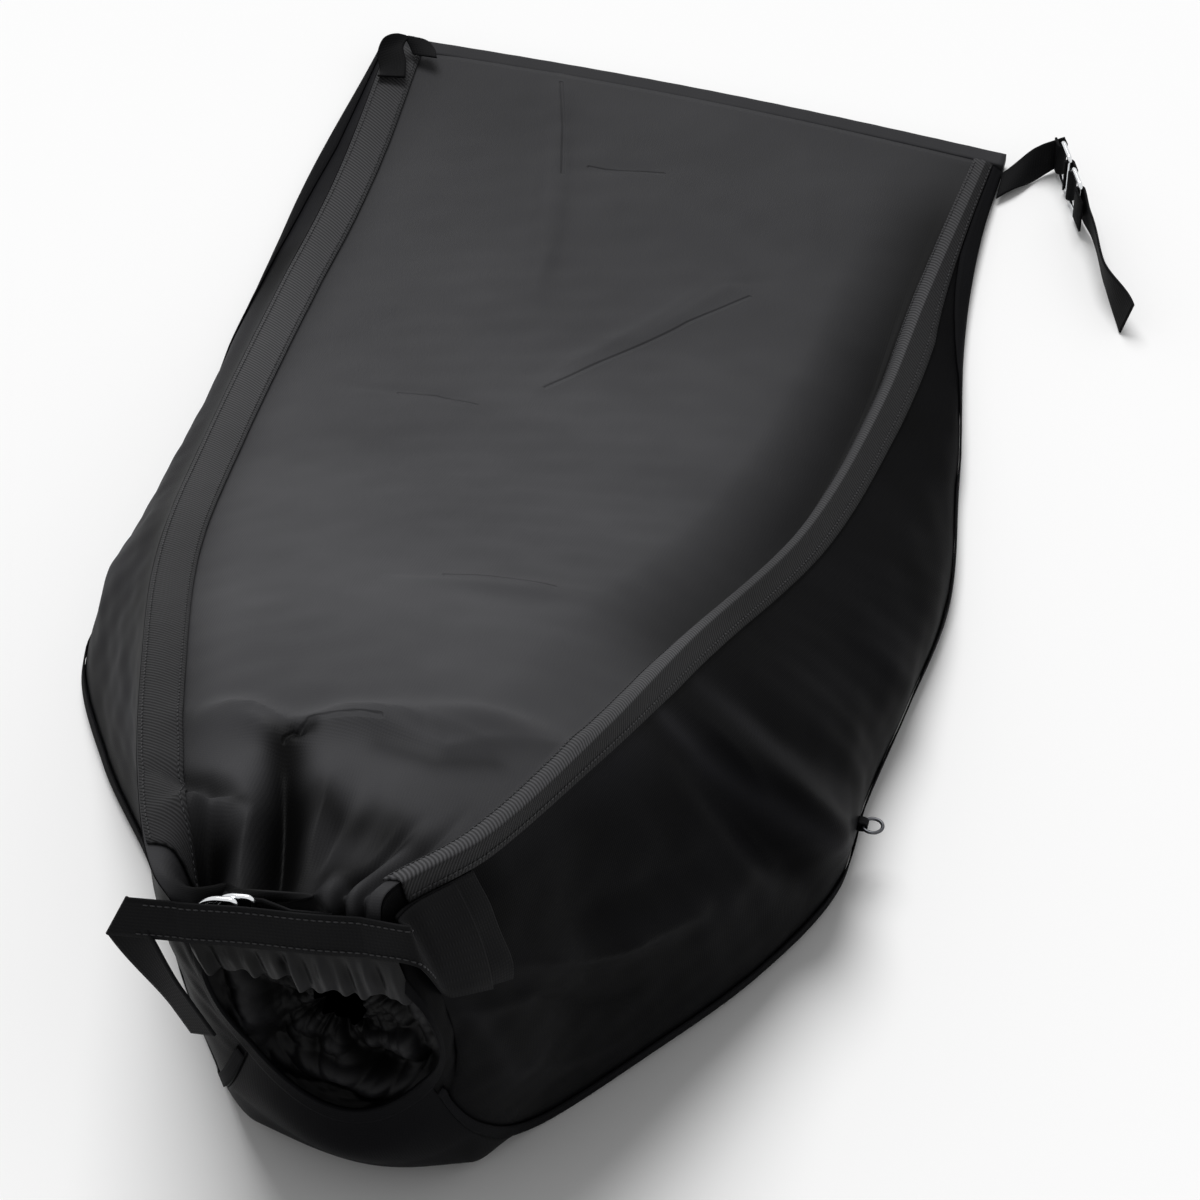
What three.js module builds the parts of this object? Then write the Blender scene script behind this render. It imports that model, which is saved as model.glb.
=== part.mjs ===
import * as THREE from 'three';

// A chipper vacuum bag: an empty sack of coated woven cloth that lies on its base.
// Lengths are millimetres. +Z is up, +Y runs from the gathered neck to the wide far end,
// and +X is to the right for someone who stands at the neck and looks along the bag.
// The origin is on the base's underside, halfway between the two top seams.

// Lie of the bag
const NECK_Y = -450;                // crest of the gathered neck
const FAR_Y = 526;                  // far edge of the cloth
const NECK_HALF_SPAN = 66;          // from the mid-plane to a top seam at the neck
const FAR_HALF_SPAN = 230;          // the same at the far edge, on the left
const FAR_TUCK = 16;                // on the right the seam ends this much further in
const FAR_FLARE = 13;               // and the base ends this much further out than the seam
const NECK_HEIGHT = 296;            // top seam above the floor at the neck
const FAR_HEIGHT = 11;              // the same at the far edge
const NECK_TURN_DOWN = 32;          // how far the gathered edge drops in front of the crest
const NECK_TURN_OUT = 13;           // how far it comes forward meanwhile
const NECK_LEAN = 16;               // the neck's left side is this much lower than its right
const MOUTH_Y = -442;               // the mouth's lower rim
const MOUTH_RIM_HEIGHT = 100;       // lowest point of the rim
const NECK_SHIFT = 24;              // the gathered edge's left end lies this much further in
const MOUTH_LEFT = -16;             // the mouth's lower corners
const MOUTH_RIGHT = 81;
const MOUTH_CORNER_HEIGHT = 142;
const FAR_SKEW = 24;                // the far edge's left end lies this much further out
const FAR_BOW = 7;                  // the far edge is this much further out in its middle
const BASE_RIGHT_WIDTH = 270;       // from the mid-plane to the base's widest points
const BASE_LEFT_WIDTH = 250;
const BASE_FRONT_Y = -388;          // where the chin meets the floor
const SEAM_LIFT = 6;                // lower seams above the floor

// Cloth and webbing
const CLOTH = 1.5;                  // drawn thickness of the coated cloth
const WEBBING_WIDTH = 25;
const WEBBING = 1.8;                // thickness of the webbing
const BINDING_WIDTH = 12;           // strip along the lower seams
const BINDING = 1.2;
const HEM_WIDTH = 12;
const HEM = 2.6;                    // the mouth's doubled and turned edge
const FAR_HEM_WIDTH = 14;           // bound edge at the wide end
const GAP = 0.3;                    // between pieces that are sewn to each other
const SEAM_INSET = 1.3;             // a panel's edge stops this far from the seam line
const BASE_INSET = 2.8;             // the same for the base, which meets the gussets at a slant
const HEM_GAP = 1.5;                // between the hem and the panels, which bend there

// Metal
const RING_WIRE = 3.2;              // D-ring wire
const RING_HEIGHT = 30;             // ring bar, between the centres of the wire
const RING_DROP = 2;                // the neck rings hang this far below the strap's middle
const RING_DEPTH = 24;              // D-ring from bar to bow, between the centres of the wire
const RING_CORNER = 3.5;
const CORNER_RING_DEPTH = 20;       // oblong ring from bar to bar
const SIDE_RING_WIRE = 2.2;
const SIDE_RING_RADIUS = 6;

// Free straps and tabs
const TAPE_START = 62;              // the left seam tape starts this far behind the mouth's edge
const RIGHT_TAPE_START = 36;        // and the right one this far
const RIGHT_TAPE_EDGE = 8;          // its half on the hollow's steep side, in plan from the seam
const TAIL_LENGTH = 80;             // neck strap's tail, from its fold to its end
const CORNER_TAIL_LENGTH = 118;     // tail at the far right corner
const STRAP_OVERHANG = 34;          // neck strap past the left seam, as far as its fold
const PATCH_START = 34;             // anchor patch on the right gusset, from the mouth's edge
const PATCH_LENGTH = 56;
const PATCH_GAP = 1;                // between the patch and the edge of the tape
const SIDE_TAB_WIDTH = 6;
const SIDE_TAB_REACH = 3;
const SIDE_TAB = 1.2;                // thickness of the side ring's tab

// Colours of the finishes
const CLOTH_BLACK = 0x38383a;
const SIDE_BLACK = 0x1a1a1c;
const TAPE_BLACK = 0x3b3b3d;
const WEBBING_BLACK = 0x18181a;
const NICKEL = 0xd6d8da;
const DARK_STEEL = 0x3a3b3e;

const { lerp, clamp, smoothstep } = THREE.MathUtils;
const vec = (x, y, z) => new THREE.Vector3(x, y, z);
const mix = (a, b, t) => a.clone().lerp(b, t);

const finish = (color, roughness, metalness = 0) => new THREE.MeshStandardMaterial({
  color,
  roughness,
  metalness,
});
const clothMaterial = () => finish(CLOTH_BLACK, 0.6);
const sideMaterial = () => finish(SIDE_BLACK, 0.5);
const tapeMaterial = () => finish(TAPE_BLACK, 0.7);
const webbingMaterial = () => finish(WEBBING_BLACK, 0.75);
const nickelMaterial = () => finish(NICKEL, 0.22, 1);
const steelMaterial = () => finish(DARK_STEEL, 0.4, 1);

const bag = new THREE.Group();

// Adds one piece: positions as [x, y, z, ...] and triangles as point numbers.
// The triangles are turned round when the body they close comes out inside out.
function addPiece(name, positions, triangles, material) {
  const corner = (i) => vec(positions[3 * i], positions[3 * i + 1], positions[3 * i + 2]);
  let volume = 0;
  for (let i = 0; i < triangles.length; i += 3) {
    const [a, b, c] = [triangles[i], triangles[i + 1], triangles[i + 2]].map(corner);
    volume += a.dot(b.cross(c));
  }
  if (volume < 0) triangles.reverse();
  const geometry = new THREE.BufferGeometry();
  geometry.setAttribute('position', new THREE.Float32BufferAttribute(positions, 3));
  geometry.setIndex(triangles);
  geometry.computeVertexNormals();
  const mesh = new THREE.Mesh(geometry, material);
  mesh.name = name;
  bag.add(mesh);
}

// Points of surface(u, v) on a grid: rows along u, columns along v, both from 0 to 1.
function grid(surface, rows, columns) {
  const points = [];
  for (let i = 0; i <= rows; i += 1) {
    const row = [];
    for (let j = 0; j <= columns; j += 1) row.push(surface(i / rows, j / columns));
    points.push(row);
  }
  return points;
}

// Normal of a grid at one point, from its neighbours. A closed grid wraps round its columns.
function gridNormal(points, i, j, closed) {
  const last = points[0].length - 1;
  const left = closed && j === 0 ? last - 1 : Math.max(j - 1, 0);
  const right = closed && j === last ? 1 : Math.min(j + 1, last);
  const along = points[Math.min(i + 1, points.length - 1)][j].clone().sub(points[Math.max(i - 1, 0)][j]);
  const across = points[i][right].clone().sub(points[i][left]);
  return across.cross(along).normalize();
}

// A sheet: the grid, moved half the thickness to each side and closed along its edges.
function addSheet(name, points, thickness, material, closed = false) {
  const rows = points.length;
  const columns = closed ? points[0].length - 1 : points[0].length;
  const positions = [];
  for (const side of [0.5, -0.5]) {
    for (let i = 0; i < rows; i += 1) {
      for (let j = 0; j < columns; j += 1) {
        const p = gridNormal(points, i, j, closed).multiplyScalar(side * thickness).add(points[i][j]);
        positions.push(p.x, p.y, p.z);
      }
    }
  }
  const at = (side, i, j) => (side * rows + i) * columns + (j % columns);
  const triangles = [];
  const quad = (a, b, c, d) => triangles.push(a, b, c, a, c, d);
  const cells = closed ? columns : columns - 1;
  for (let i = 0; i < rows - 1; i += 1) {
    for (let j = 0; j < cells; j += 1) {
      quad(at(0, i, j), at(0, i, j + 1), at(0, i + 1, j + 1), at(0, i + 1, j));
      quad(at(1, i, j), at(1, i + 1, j), at(1, i + 1, j + 1), at(1, i, j + 1));
    }
  }
  for (let j = 0; j < cells; j += 1) {
    quad(at(0, 0, j), at(1, 0, j), at(1, 0, j + 1), at(0, 0, j + 1));
    quad(at(0, rows - 1, j), at(0, rows - 1, j + 1), at(1, rows - 1, j + 1), at(1, rows - 1, j));
  }
  for (let i = 0; i < rows - 1 && !closed; i += 1) {
    quad(at(0, i, 0), at(0, i + 1, 0), at(1, i + 1, 0), at(1, i, 0));
    quad(at(0, i, cells), at(1, i, cells), at(1, i + 1, cells), at(0, i + 1, cells));
  }
  addPiece(name, positions, triangles, material);
}

// A wire bent to a closed flat loop, with the loop's plane given by its normal.
function addWire(name, loop, normal, wire, sides, material) {
  const positions = [];
  const triangles = [];
  const count = loop.length;
  for (let i = 0; i < count; i += 1) {
    const tangent = loop[(i + 1) % count].clone().sub(loop[(i + count - 1) % count]).normalize();
    const outward = tangent.cross(normal);
    for (let k = 0; k < sides; k += 1) {
      const angle = (2 * Math.PI * k) / sides;
      const p = loop[i].clone()
        .addScaledVector(outward, (wire / 2) * Math.cos(angle))
        .addScaledVector(normal, (wire / 2) * Math.sin(angle));
      positions.push(p.x, p.y, p.z);
    }
  }
  for (let i = 0; i < count; i += 1) {
    for (let k = 0; k < sides; k += 1) {
      const [a, b] = [i * sides + k, i * sides + ((k + 1) % sides)];
      const [c, d] = [((i + 1) % count) * sides + ((k + 1) % sides), ((i + 1) % count) * sides + k];
      triangles.push(a, b, c, a, c, d);
    }
  }
  addPiece(name, positions, triangles, material);
}

// Seam lines, each from the mouth to the far edge

const FAR_RIGHT = FAR_HALF_SPAN - FAR_TUCK + FAR_FLARE;

// Top seams: shares of the way from the far corner back to the neck's crest, as
// [half span, length, height]. The gathered edge turns down in front of the crest.
const TOP_SHARES = {
  right: [[0, 0, 0], [0.077, 0.16, 0.03], [0.107, 0.3, 0.11], [0.203, 0.48, 0.29],
    [0.436, 0.67, 0.57], [0.564, 0.8, 0.77], [0.775, 0.93, 0.93], [1, 1, 1]],
  left: [[0, 0, 0], [0.05, 0.16, 0.03], [0.07, 0.3, 0.11], [0.16, 0.48, 0.29],
    [0.35, 0.67, 0.57], [0.58, 0.8, 0.77], [0.85, 0.93, 0.93], [1.05, 1, 1]],
};

function topSeamLine(side) {
  const height = side < 0 ? NECK_HEIGHT - NECK_LEAN : NECK_HEIGHT;
  const shares = side < 0 ? TOP_SHARES.left : TOP_SHARES.right;
  const farSpan = side < 0 ? FAR_HALF_SPAN : FAR_HALF_SPAN - FAR_TUCK;
  const points = shares.map(([span, length, rise]) => vec(
    side * lerp(farSpan, NECK_HALF_SPAN, span),
    lerp(side < 0 ? FAR_Y + FAR_SKEW : FAR_Y, NECK_Y, length),
    lerp(FAR_HEIGHT, height, rise),
  )).reverse();
  const crest = points[0];
  const shift = side < 0 ? NECK_SHIFT : 0;
  const shoulder = vec(0.5 * shift, -0.62 * NECK_TURN_OUT, -0.3 * NECK_TURN_DOWN).add(crest);
  const edge = vec(shift, -NECK_TURN_OUT, -NECK_TURN_DOWN).add(crest);
  return new THREE.CatmullRomCurve3([edge, shoulder, ...points]);
}

// Base outline behind the chin: shares of [the widest point, the way from the chin to the far edge].
const BASE_SHARES = {
  right: [[0.43, 0.03], [0.626, 0.105], [0.797, 0.18], [0.915, 0.26], [0.923, 0.33],
    [0.96, 0.43], [0.992, 0.53], [0.94, 0.65], [0.855, 0.81], [0.835, 0.92]],
  left: [[0.265, 0.025], [0.418, 0.085], [0.6, 0.17], [0.822, 0.25], [0.98, 0.335],
    [0.945, 0.4], [0.948, 0.54], [0.966, 0.7], [0.976, 0.86]],
};

// Lower seam: down the front crease from the mouth's lower corner, then round the base.
function lowerSeamLine(side) {
  const mouthX = side < 0 ? MOUTH_LEFT : MOUTH_RIGHT;
  const widest = side < 0 ? -BASE_LEFT_WIDTH : BASE_RIGHT_WIDTH;
  const shares = side < 0 ? BASE_SHARES.left : BASE_SHARES.right;
  const base = shares.map(([x, y]) => vec(x * widest, lerp(BASE_FRONT_Y, FAR_Y, y), SEAM_LIFT));
  const middle = mix(vec(mouthX, MOUTH_Y, MOUTH_CORNER_HEIGHT), base[0], 0.5)
    .add(vec(0, -0.25 * (BASE_FRONT_Y - MOUTH_Y), -0.06 * MOUTH_CORNER_HEIGHT));
  const farY = side < 0 ? FAR_Y + FAR_SKEW : FAR_Y;
  const end = vec(side < 0 ? -FAR_HALF_SPAN - FAR_FLARE / 2 : FAR_RIGHT, farY, 0.7 * SEAM_LIFT);
  return new THREE.CatmullRomCurve3([vec(mouthX, MOUTH_Y, MOUTH_CORNER_HEIGHT), middle, ...base, end]);
}

const topSeams = { left: topSeamLine(-1), right: topSeamLine(1) };
const lowerSeams = { left: lowerSeamLine(-1), right: lowerSeamLine(1) };
const topLength = topSeams.right.getLength();

// Value between [place, value] pairs, eased from each to the next.
function between(pairs, place) {
  let i = 0;
  while (i < pairs.length - 2 && place > pairs[i + 1][0]) i += 1;
  const [[a, low], [b, high]] = [pairs[i], pairs[i + 1]];
  return lerp(low, high, smoothstep(place, a, b));
}

// How far the middle of the far edge bows out.
const farBow = (s, v) => vec(0, FAR_BOW * smoothstep(s, 0.75, 1) * Math.sin(Math.PI * v), 0);

const hill = (distance, width, power = 2) => Math.exp(-(Math.abs(distance / width) ** power));

// Top panel

// How high the cloth stands above the straight line between the two seams, along the bag.
const CROWN = [[0, 1], [0.04, 4], [0.12, 14], [0.2, 24], [0.36, 20], [0.6, 15], [0.85, 9], [1, 1]];
// Depth of the long hollow beside each tape, along the bag.
const RIGHT_HOLLOW = [[0, 0], [0.12, 6], [0.3, 9], [0.42, 20], [0.58, 26], [0.75, 22], [0.88, 8], [1, 0]];
const LEFT_HOLLOW = [[0, 0], [0.2, 3], [0.9, 4], [1, 1]];
const HOLLOW_AT = 31;               // the left one lies this far in from its seam
const HOLLOW_WIDTH = 17;
// The right one drops steeply beside the seam, then rises gently: where it starts, is deepest and ends.
const HOLLOW_START = 1;
const HOLLOW_DEEPEST = 13;
const HOLLOW_END = 62;

// Gathers at the neck: each a valley from the strap back to its reach, as shares of the panel.
const GATHERS = [
  { at: 0.4, drift: 0, width: 0.36, power: 8, depth: 18, reach: 0.11 },
  { at: 0.2, drift: 0.02, width: 0.05, power: 2, depth: 7, reach: 0.14 },
  { at: 0.8, drift: 0.02, width: 0.035, power: 2, depth: 10, reach: 0.12 },
  { at: 0.91, drift: -0.02, width: 0.03, power: 2, depth: 7, reach: 0.14 },
];

// Creases: a soft ridge (or valley, where the height is below zero) from one place to another,
// as [along, across] shares, with its width and height.
const TOP_CREASES = [
  { from: [0.05, 0.47], to: [0.13, 0.4], width: 13, height: -24 },
  { from: [0.048, 0.18], to: [0.082, 0.25], width: 12, height: -20 },
  { from: [0.122, 0.07], to: [0.1, 0.3], width: 9, height: -8 },
  { from: [0.085, 0.1], to: [0.092, 0.28], width: 10, height: 6 },
  { from: [0.05, 0.7], to: [0.125, 0.62], width: 11, height: -9 },
  { from: [0.17, 0.14], to: [0.155, 0.38], width: 15, height: 8 },
  { from: [0.155, 0.43], to: [0.18, 0.68], width: 15, height: 8 },
  { from: [0.18, 0.68], to: [0.215, 0.93], width: 14, height: 7 },
  { from: [0.76, 0.41], to: [0.98, 0.3], width: 9, height: 4 },
  { from: [0.648, 0.49], to: [0.813, 0.69], width: 9, height: 4 },
  { from: [0.347, 0.5], to: [0.377, 0.78], width: 10, height: 3 },
];
const SIDE_CREASES = [
  { from: [0.325, 0.06], to: [0.38, 0.75], width: 17, height: 15 },
  { from: [0.285, 0.12], to: [0.345, 0.78], width: 15, height: -12 },
  { from: [0.09, 0.3], to: [0.25, 0.5], width: 12, height: 6 },
];

function creased(creases, s, v, across) {
  let height = 0;
  for (const crease of creases) {
    const from = vec(crease.from[0] * topLength, crease.from[1] * across, 0);
    const to = vec(crease.to[0] * topLength, crease.to[1] * across, 0);
    const place = vec(s * topLength, v * across, 0);
    const line = to.clone().sub(from);
    const share = clamp(place.clone().sub(from).dot(line) / line.lengthSq(), 0, 1);
    const distance = place.distanceTo(from.clone().addScaledVector(line, share));
    height += crease.height * hill(distance, crease.width) * (0.35 + 0.65 * Math.sin(Math.PI * share));
  }
  return height;
}

function topPanel(s, v) {
  const [left, right] = [topSeams.left.getPointAt(s), topSeams.right.getPointAt(s)];
  const along = topSeams.left.getTangentAt(s).add(topSeams.right.getTangentAt(s));
  const up = right.clone().sub(left).cross(along).normalize();
  const span = left.distanceTo(right);
  let height = between(CROWN, s) * Math.sin(Math.PI * v) ** 0.8;
  height -= between(LEFT_HOLLOW, s) * hill(v * span - HOLLOW_AT, HOLLOW_WIDTH);
  const inwards = (1 - v) * span;
  const fall = smoothstep(inwards, HOLLOW_START, HOLLOW_DEEPEST);
  const dip = fall - smoothstep(inwards, HOLLOW_DEEPEST, HOLLOW_END);
  height -= between(RIGHT_HOLLOW, s) * dip;
  for (const gather of GATHERS) {
    const share = s / gather.reach;
    const fade = 1 - smoothstep(share, 0.4, 1);
    const width = gather.width * (1 - 0.5 * Math.min(share, 1));
    height -= gather.depth * fade * hill(v - gather.at - gather.drift * share, width, gather.power);
  }
  height += creased(TOP_CREASES, s, v, span);
  return mix(left, right, v).addScaledVector(up, height).add(farBow(s, v));
}

// Gussets

const BULGE = {
  right: [[0, 22], [0.15, 30], [0.32, 40], [0.5, 34], [0.7, 18], [0.88, 7], [1, 1]],
  left: [[0, 6], [0.1, 5], [0.32, 8], [0.5, 14], [0.7, 9], [0.88, 6], [1, 1]],
};

const BULGE_START = 36;             // below the top seam the bulge grows to full over this

function gusset(name, s, v) {
  const side = name === 'left' ? -1 : 1;
  const [top, low] = [topSeams[name].getPointAt(s), lowerSeams[name].getPointAt(s)];
  const along = topSeams[name].getTangentAt(s).add(lowerSeams[name].getTangentAt(s));
  const outward = vec(side * along.y, -side * along.x, 0).normalize();
  const width = top.distanceTo(low);
  const arch = Math.sin(Math.PI * v) * smoothstep(v * width, 0, BULGE_START);
  let bulge = between(BULGE[name], s) * arch;
  if (side > 0) bulge += creased(SIDE_CREASES, s, v, width) * arch;
  return mix(top, low, v).addScaledVector(outward, bulge);
}

// Bottom panel: the chin follows its middle line, then the cloth lies flat on the floor
// and rises to the seams at its sides.

const CHIN_END = 0.135;             // share of the seam where the chin has met the floor
const FLAT_SHARE = 0.8;             // of the base's width that lies flat
const baseHeight = CLOTH / 2;
const mouthMiddle = (MOUTH_LEFT + MOUTH_RIGHT) / 2;
const chinLine = new THREE.CatmullRomCurve3([
  vec(mouthMiddle, MOUTH_Y, MOUTH_RIM_HEIGHT),
  vec(mouthMiddle, MOUTH_Y, 0.62 * MOUTH_RIM_HEIGHT),
  vec(mouthMiddle + 4, lerp(MOUTH_Y, BASE_FRONT_Y, 0.33), 0.3 * MOUTH_RIM_HEIGHT),
  vec(mouthMiddle + 3, lerp(MOUTH_Y, BASE_FRONT_Y, 0.66), 0.06 * MOUTH_RIM_HEIGHT),
  vec(mouthMiddle + 3, lerp(MOUTH_Y, BASE_FRONT_Y, 0.88), baseHeight),
  vec(mouthMiddle, BASE_FRONT_Y, baseHeight),
]);

function bottomPanel(s, v) {
  const [left, right] = [lowerSeams.left.getPointAt(s), lowerSeams.right.getPointAt(s)];
  const chord = mix(left, right, v).add(farBow(s, v));
  const rise = clamp((Math.abs(2 * v - 1) - FLAT_SHARE) / (1 - FLAT_SHARE), 0, 1) ** 2;
  const flat = chord.clone().setZ(lerp(baseHeight, chord.z, rise));
  if (s >= CHIN_END) return flat;
  const sag = chinLine.getPointAt(s / CHIN_END).sub(mix(left, right, 0.5));
  const arch = 4 * v * (1 - v);
  const blend = smoothstep(s / CHIN_END, 0.55, 1);
  return mix(chord.addScaledVector(sag, arch), flat, blend);
}

// The cloth panels. A panel's first row starts behind the hem, and its last row stops at the
// far hem. Its columns stand closer at the seams, where the tapes lie on it.

const panelStart = (HEM_WIDTH + HEM_GAP) / topLength;
const ROWS = 34;

// Rows stand closer at the neck, where the cloth turns and gathers.
const rowPlace = (u) => lerp(panelStart, 1, u ** 1.6);

// First row that is at least this far behind the mouth's edge.
const rowAt = (distance) => {
  let i = 0;
  while (rowPlace(i / ROWS) * topLength < distance) i += 1;
  return i;
};

// Columns at fixed distances from the edges, with the rest spaced evenly between them.
function edgeColumns(width, starts, middles, ends) {
  const first = starts[starts.length - 1];
  const last = width - ends[0];
  const inner = [];
  for (let k = 1; k < middles; k += 1) inner.push(lerp(first, last, k / middles));
  return [...starts, ...inner, ...ends.map((d) => width - d)].map((d) => d / width);
}

function panelGrid(surface, widthAt, columnsAt) {
  const points = [];
  for (let i = 0; i <= ROWS; i += 1) {
    const s = rowPlace(i / ROWS);
    points.push(columnsAt(widthAt(s)).map((v) => surface(s, v)));
  }
  return points;
}

const spanBetween = (a, b) => (s) => a.getPointAt(s).distanceTo(b.getPointAt(s));
const tapeEdge = SEAM_INSET + WEBBING_WIDTH;
const tapeMiddle = SEAM_INSET + WEBBING_WIDTH / 2;

const topColumns = (width) => edgeColumns(
  width,
  [SEAM_INSET, tapeMiddle, tapeEdge],
  14,
  [tapeEdge, HOLLOW_DEEPEST, RIGHT_TAPE_EDGE, SEAM_INSET],
);
const bottomColumns = (width) => edgeColumns(width, [BASE_INSET], 9, [BASE_INSET]);
const topGrid = panelGrid(topPanel, spanBetween(topSeams.left, topSeams.right), topColumns);

// A gusset narrows to almost nothing at the far end, so its tape and binding narrow with it.
// Its second column is the tape's edge, and its third is where the anchor patch starts.
function gussetColumns(width) {
  const tape = Math.min(tapeMiddle, 0.35 * width);
  const patch = tape + Math.min(PATCH_GAP, 0.02 * width);
  const binding = Math.min(SEAM_INSET + BINDING_WIDTH, 0.6 * width);
  return edgeColumns(width, [SEAM_INSET, tape, patch], 6, [binding, SEAM_INSET]);
}

const gussetGrid = (name) => panelGrid(
  (s, v) => gusset(name, s, v),
  spanBetween(topSeams[name], lowerSeams[name]),
  gussetColumns,
);
const gussetGrids = { left: gussetGrid('left'), right: gussetGrid('right') };
const bottomGrid = panelGrid(bottomPanel, spanBetween(lowerSeams.left, lowerSeams.right), bottomColumns);

addSheet('top_panel', topGrid, CLOTH, clothMaterial());
addSheet('bottom_panel', bottomGrid, CLOTH, sideMaterial());
addSheet('left_gusset', gussetGrids.left, CLOTH, sideMaterial());
addSheet('right_gusset', gussetGrids.right, CLOTH, sideMaterial());

// Part of a panel's grid, lifted off its outer face. The lift is signed, as the grids of the
// top panel and the left gusset have their normals on different sides.
function lifted(points, rows, columns, lift) {
  const result = [];
  for (let i = rows[0]; i <= rows[1]; i += 1) {
    const row = [];
    for (let j = columns[0]; j <= columns[1]; j += 1) {
      row.push(gridNormal(points, i, j, false).multiplyScalar(lift).add(points[i][j]));
    }
    result.push(row);
  }
  return result;
}

// Which way a grid's normals point: 1 outwards from the bag's middle, -1 inwards.
function facing(points) {
  const [i, j] = [Math.floor(points.length / 3), Math.floor(points[0].length / 2)];
  const centre = vec(0, points[i][j].y, NECK_HEIGHT / 4);
  return Math.sign(gridNormal(points, i, j, false).dot(points[i][j].clone().sub(centre)));
}

// Seam tapes, from behind the neck strap to the far corner. The left one lies flat on the top
// panel. The right one is folded over its seam, half on the top panel and half on the gusset.

const tapeLift = CLOTH / 2 + GAP + WEBBING / 2;
const lastColumn = topGrid[0].length - 1;
const outerSide = facing(topGrid);
const sideGrid = gussetGrids.right;
const sideFacing = facing(sideGrid);
const leftTape = lifted(topGrid, [rowAt(TAPE_START), ROWS], [0, 2], outerSide * tapeLift);
addSheet('left_seam_tape', leftTape, WEBBING, tapeMaterial());
const rightTape = [];
for (let i = rowAt(RIGHT_TAPE_START); i <= ROWS; i += 1) {
  const [onTop] = lifted(topGrid, [i, i], [lastColumn - 1, lastColumn], outerSide * tapeLift);
  const [onGusset] = lifted(sideGrid, [i, i], [0, 1], sideFacing * tapeLift);
  const out = onTop[1].clone().sub(topGrid[i][lastColumn]).add(onGusset[0]).sub(sideGrid[i][0]);
  const ridge = topSeams.right.getPointAt(rowPlace(i / ROWS)).add(out.setLength(tapeLift));
  rightTape.push([...onTop, ridge, ...onGusset]);
}
addSheet('right_seam_tape', rightTape, WEBBING, tapeMaterial());

// Bindings along the lower seams

for (const name of ['left', 'right']) {
  const points = gussetGrids[name];
  const last = points[0].length - 1;
  const lift = facing(points) * (CLOTH / 2 + GAP + BINDING / 2);
  const strip = lifted(points, [1, ROWS], [last - 1, last], lift);
  addSheet(`lower_${name}_binding`, strip, BINDING, tapeMaterial());
}

// Mouth hem: a band round the mouth, with the columns of the four panels in turn

const spans = {
  top: spanBetween(topSeams.left, topSeams.right),
  left: spanBetween(topSeams.left, lowerSeams.left),
  right: spanBetween(topSeams.right, lowerSeams.right),
  bottom: spanBetween(lowerSeams.left, lowerSeams.right),
};
function hemRow(depth) {
  const s = depth / topLength;
  const row = [
    ...topColumns(spans.top(s)).map((v) => topPanel(s, v)),
    ...gussetColumns(spans.right(s)).map((v) => gusset('right', s, v)),
    ...bottomColumns(spans.bottom(s)).reverse().map((v) => bottomPanel(s, v)),
    ...gussetColumns(spans.left(s)).reverse().map((v) => gusset('left', s, v)),
  ];
  return [...row, row[0]];
}
addSheet('mouth_hem', [0, HEM_WIDTH / 2, HEM_WIDTH].map(hemRow), HEM, sideMaterial(), true);

// Far end binding: a flat bar of folded cloth behind the panels' last rows

const farBottom = 0.7 * SEAM_LIFT - CLOTH / 2;
const farTop = FAR_HEIGHT + CLOTH / 2;
const farRow = (u, v) => vec(
  lerp(-FAR_HALF_SPAN, FAR_RIGHT, v),
  lerp(FAR_Y + FAR_SKEW, FAR_Y, v) + GAP + u * FAR_HEM_WIDTH,
  (farBottom + farTop) / 2,
).add(farBow(1, v));
addSheet('far_end_binding', grid(farRow, 2, 14), farTop - farBottom, clothMaterial());

// Neck strap. Its own frame: a across the neck to the right, b up along the turned edge,
// c out to the front, from the middle of the band.

const bandShare = (WEBBING_WIDTH / 2 + 2) / topLength;
const neckLeft = topSeams.left.getPointAt(bandShare);
const neckRight = topSeams.right.getPointAt(bandShare);
const neckSpan = neckLeft.distanceTo(neckRight);
const axisA = neckRight.clone().sub(neckLeft).normalize();
const tangent = topSeams.right.getTangentAt(bandShare);
const axisC = axisA.clone().cross(tangent).normalize();
const axisB = axisC.clone().cross(axisA);
const neckCentre = mix(neckLeft, neckRight, 0.5);

// The band touches the gathers that stand furthest forward. They are looked for at these shares
// across the top panel, and at these distances behind its front edge.
const CREST_SHARES = [0.02, 0.06, 0.76, 0.82, 0.88, 0.94, 0.98];
const CREST_DEPTHS = [1, 7, 14, 21, 27];
let crestDepth = 0;
for (const v of CREST_SHARES) {
  for (const depth of CREST_DEPTHS) {
    crestDepth = Math.max(crestDepth, topPanel(depth / topLength, v).sub(neckCentre).dot(axisC));
  }
}
const bandDepth = crestDepth + HEM / 2 + 3 * GAP + WEBBING / 2;
const onNeck = (a, b, c) => neckCentre.clone()
  .addScaledVector(axisA, a)
  .addScaledVector(axisB, b)
  .addScaledVector(axisC, bandDepth + c);

// Past the left seam the band folds back on a slanting line, and its tail hangs behind it.
const FOLD_SLANT = 1.02;
const FOLD_RADIUS = (WEBBING + GAP) / 2;
const TAIL_LEAN = -0.03;
const TAIL_TWIST = 0.5;
const foldAt = -neckSpan / 2 - STRAP_OVERHANG;

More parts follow.
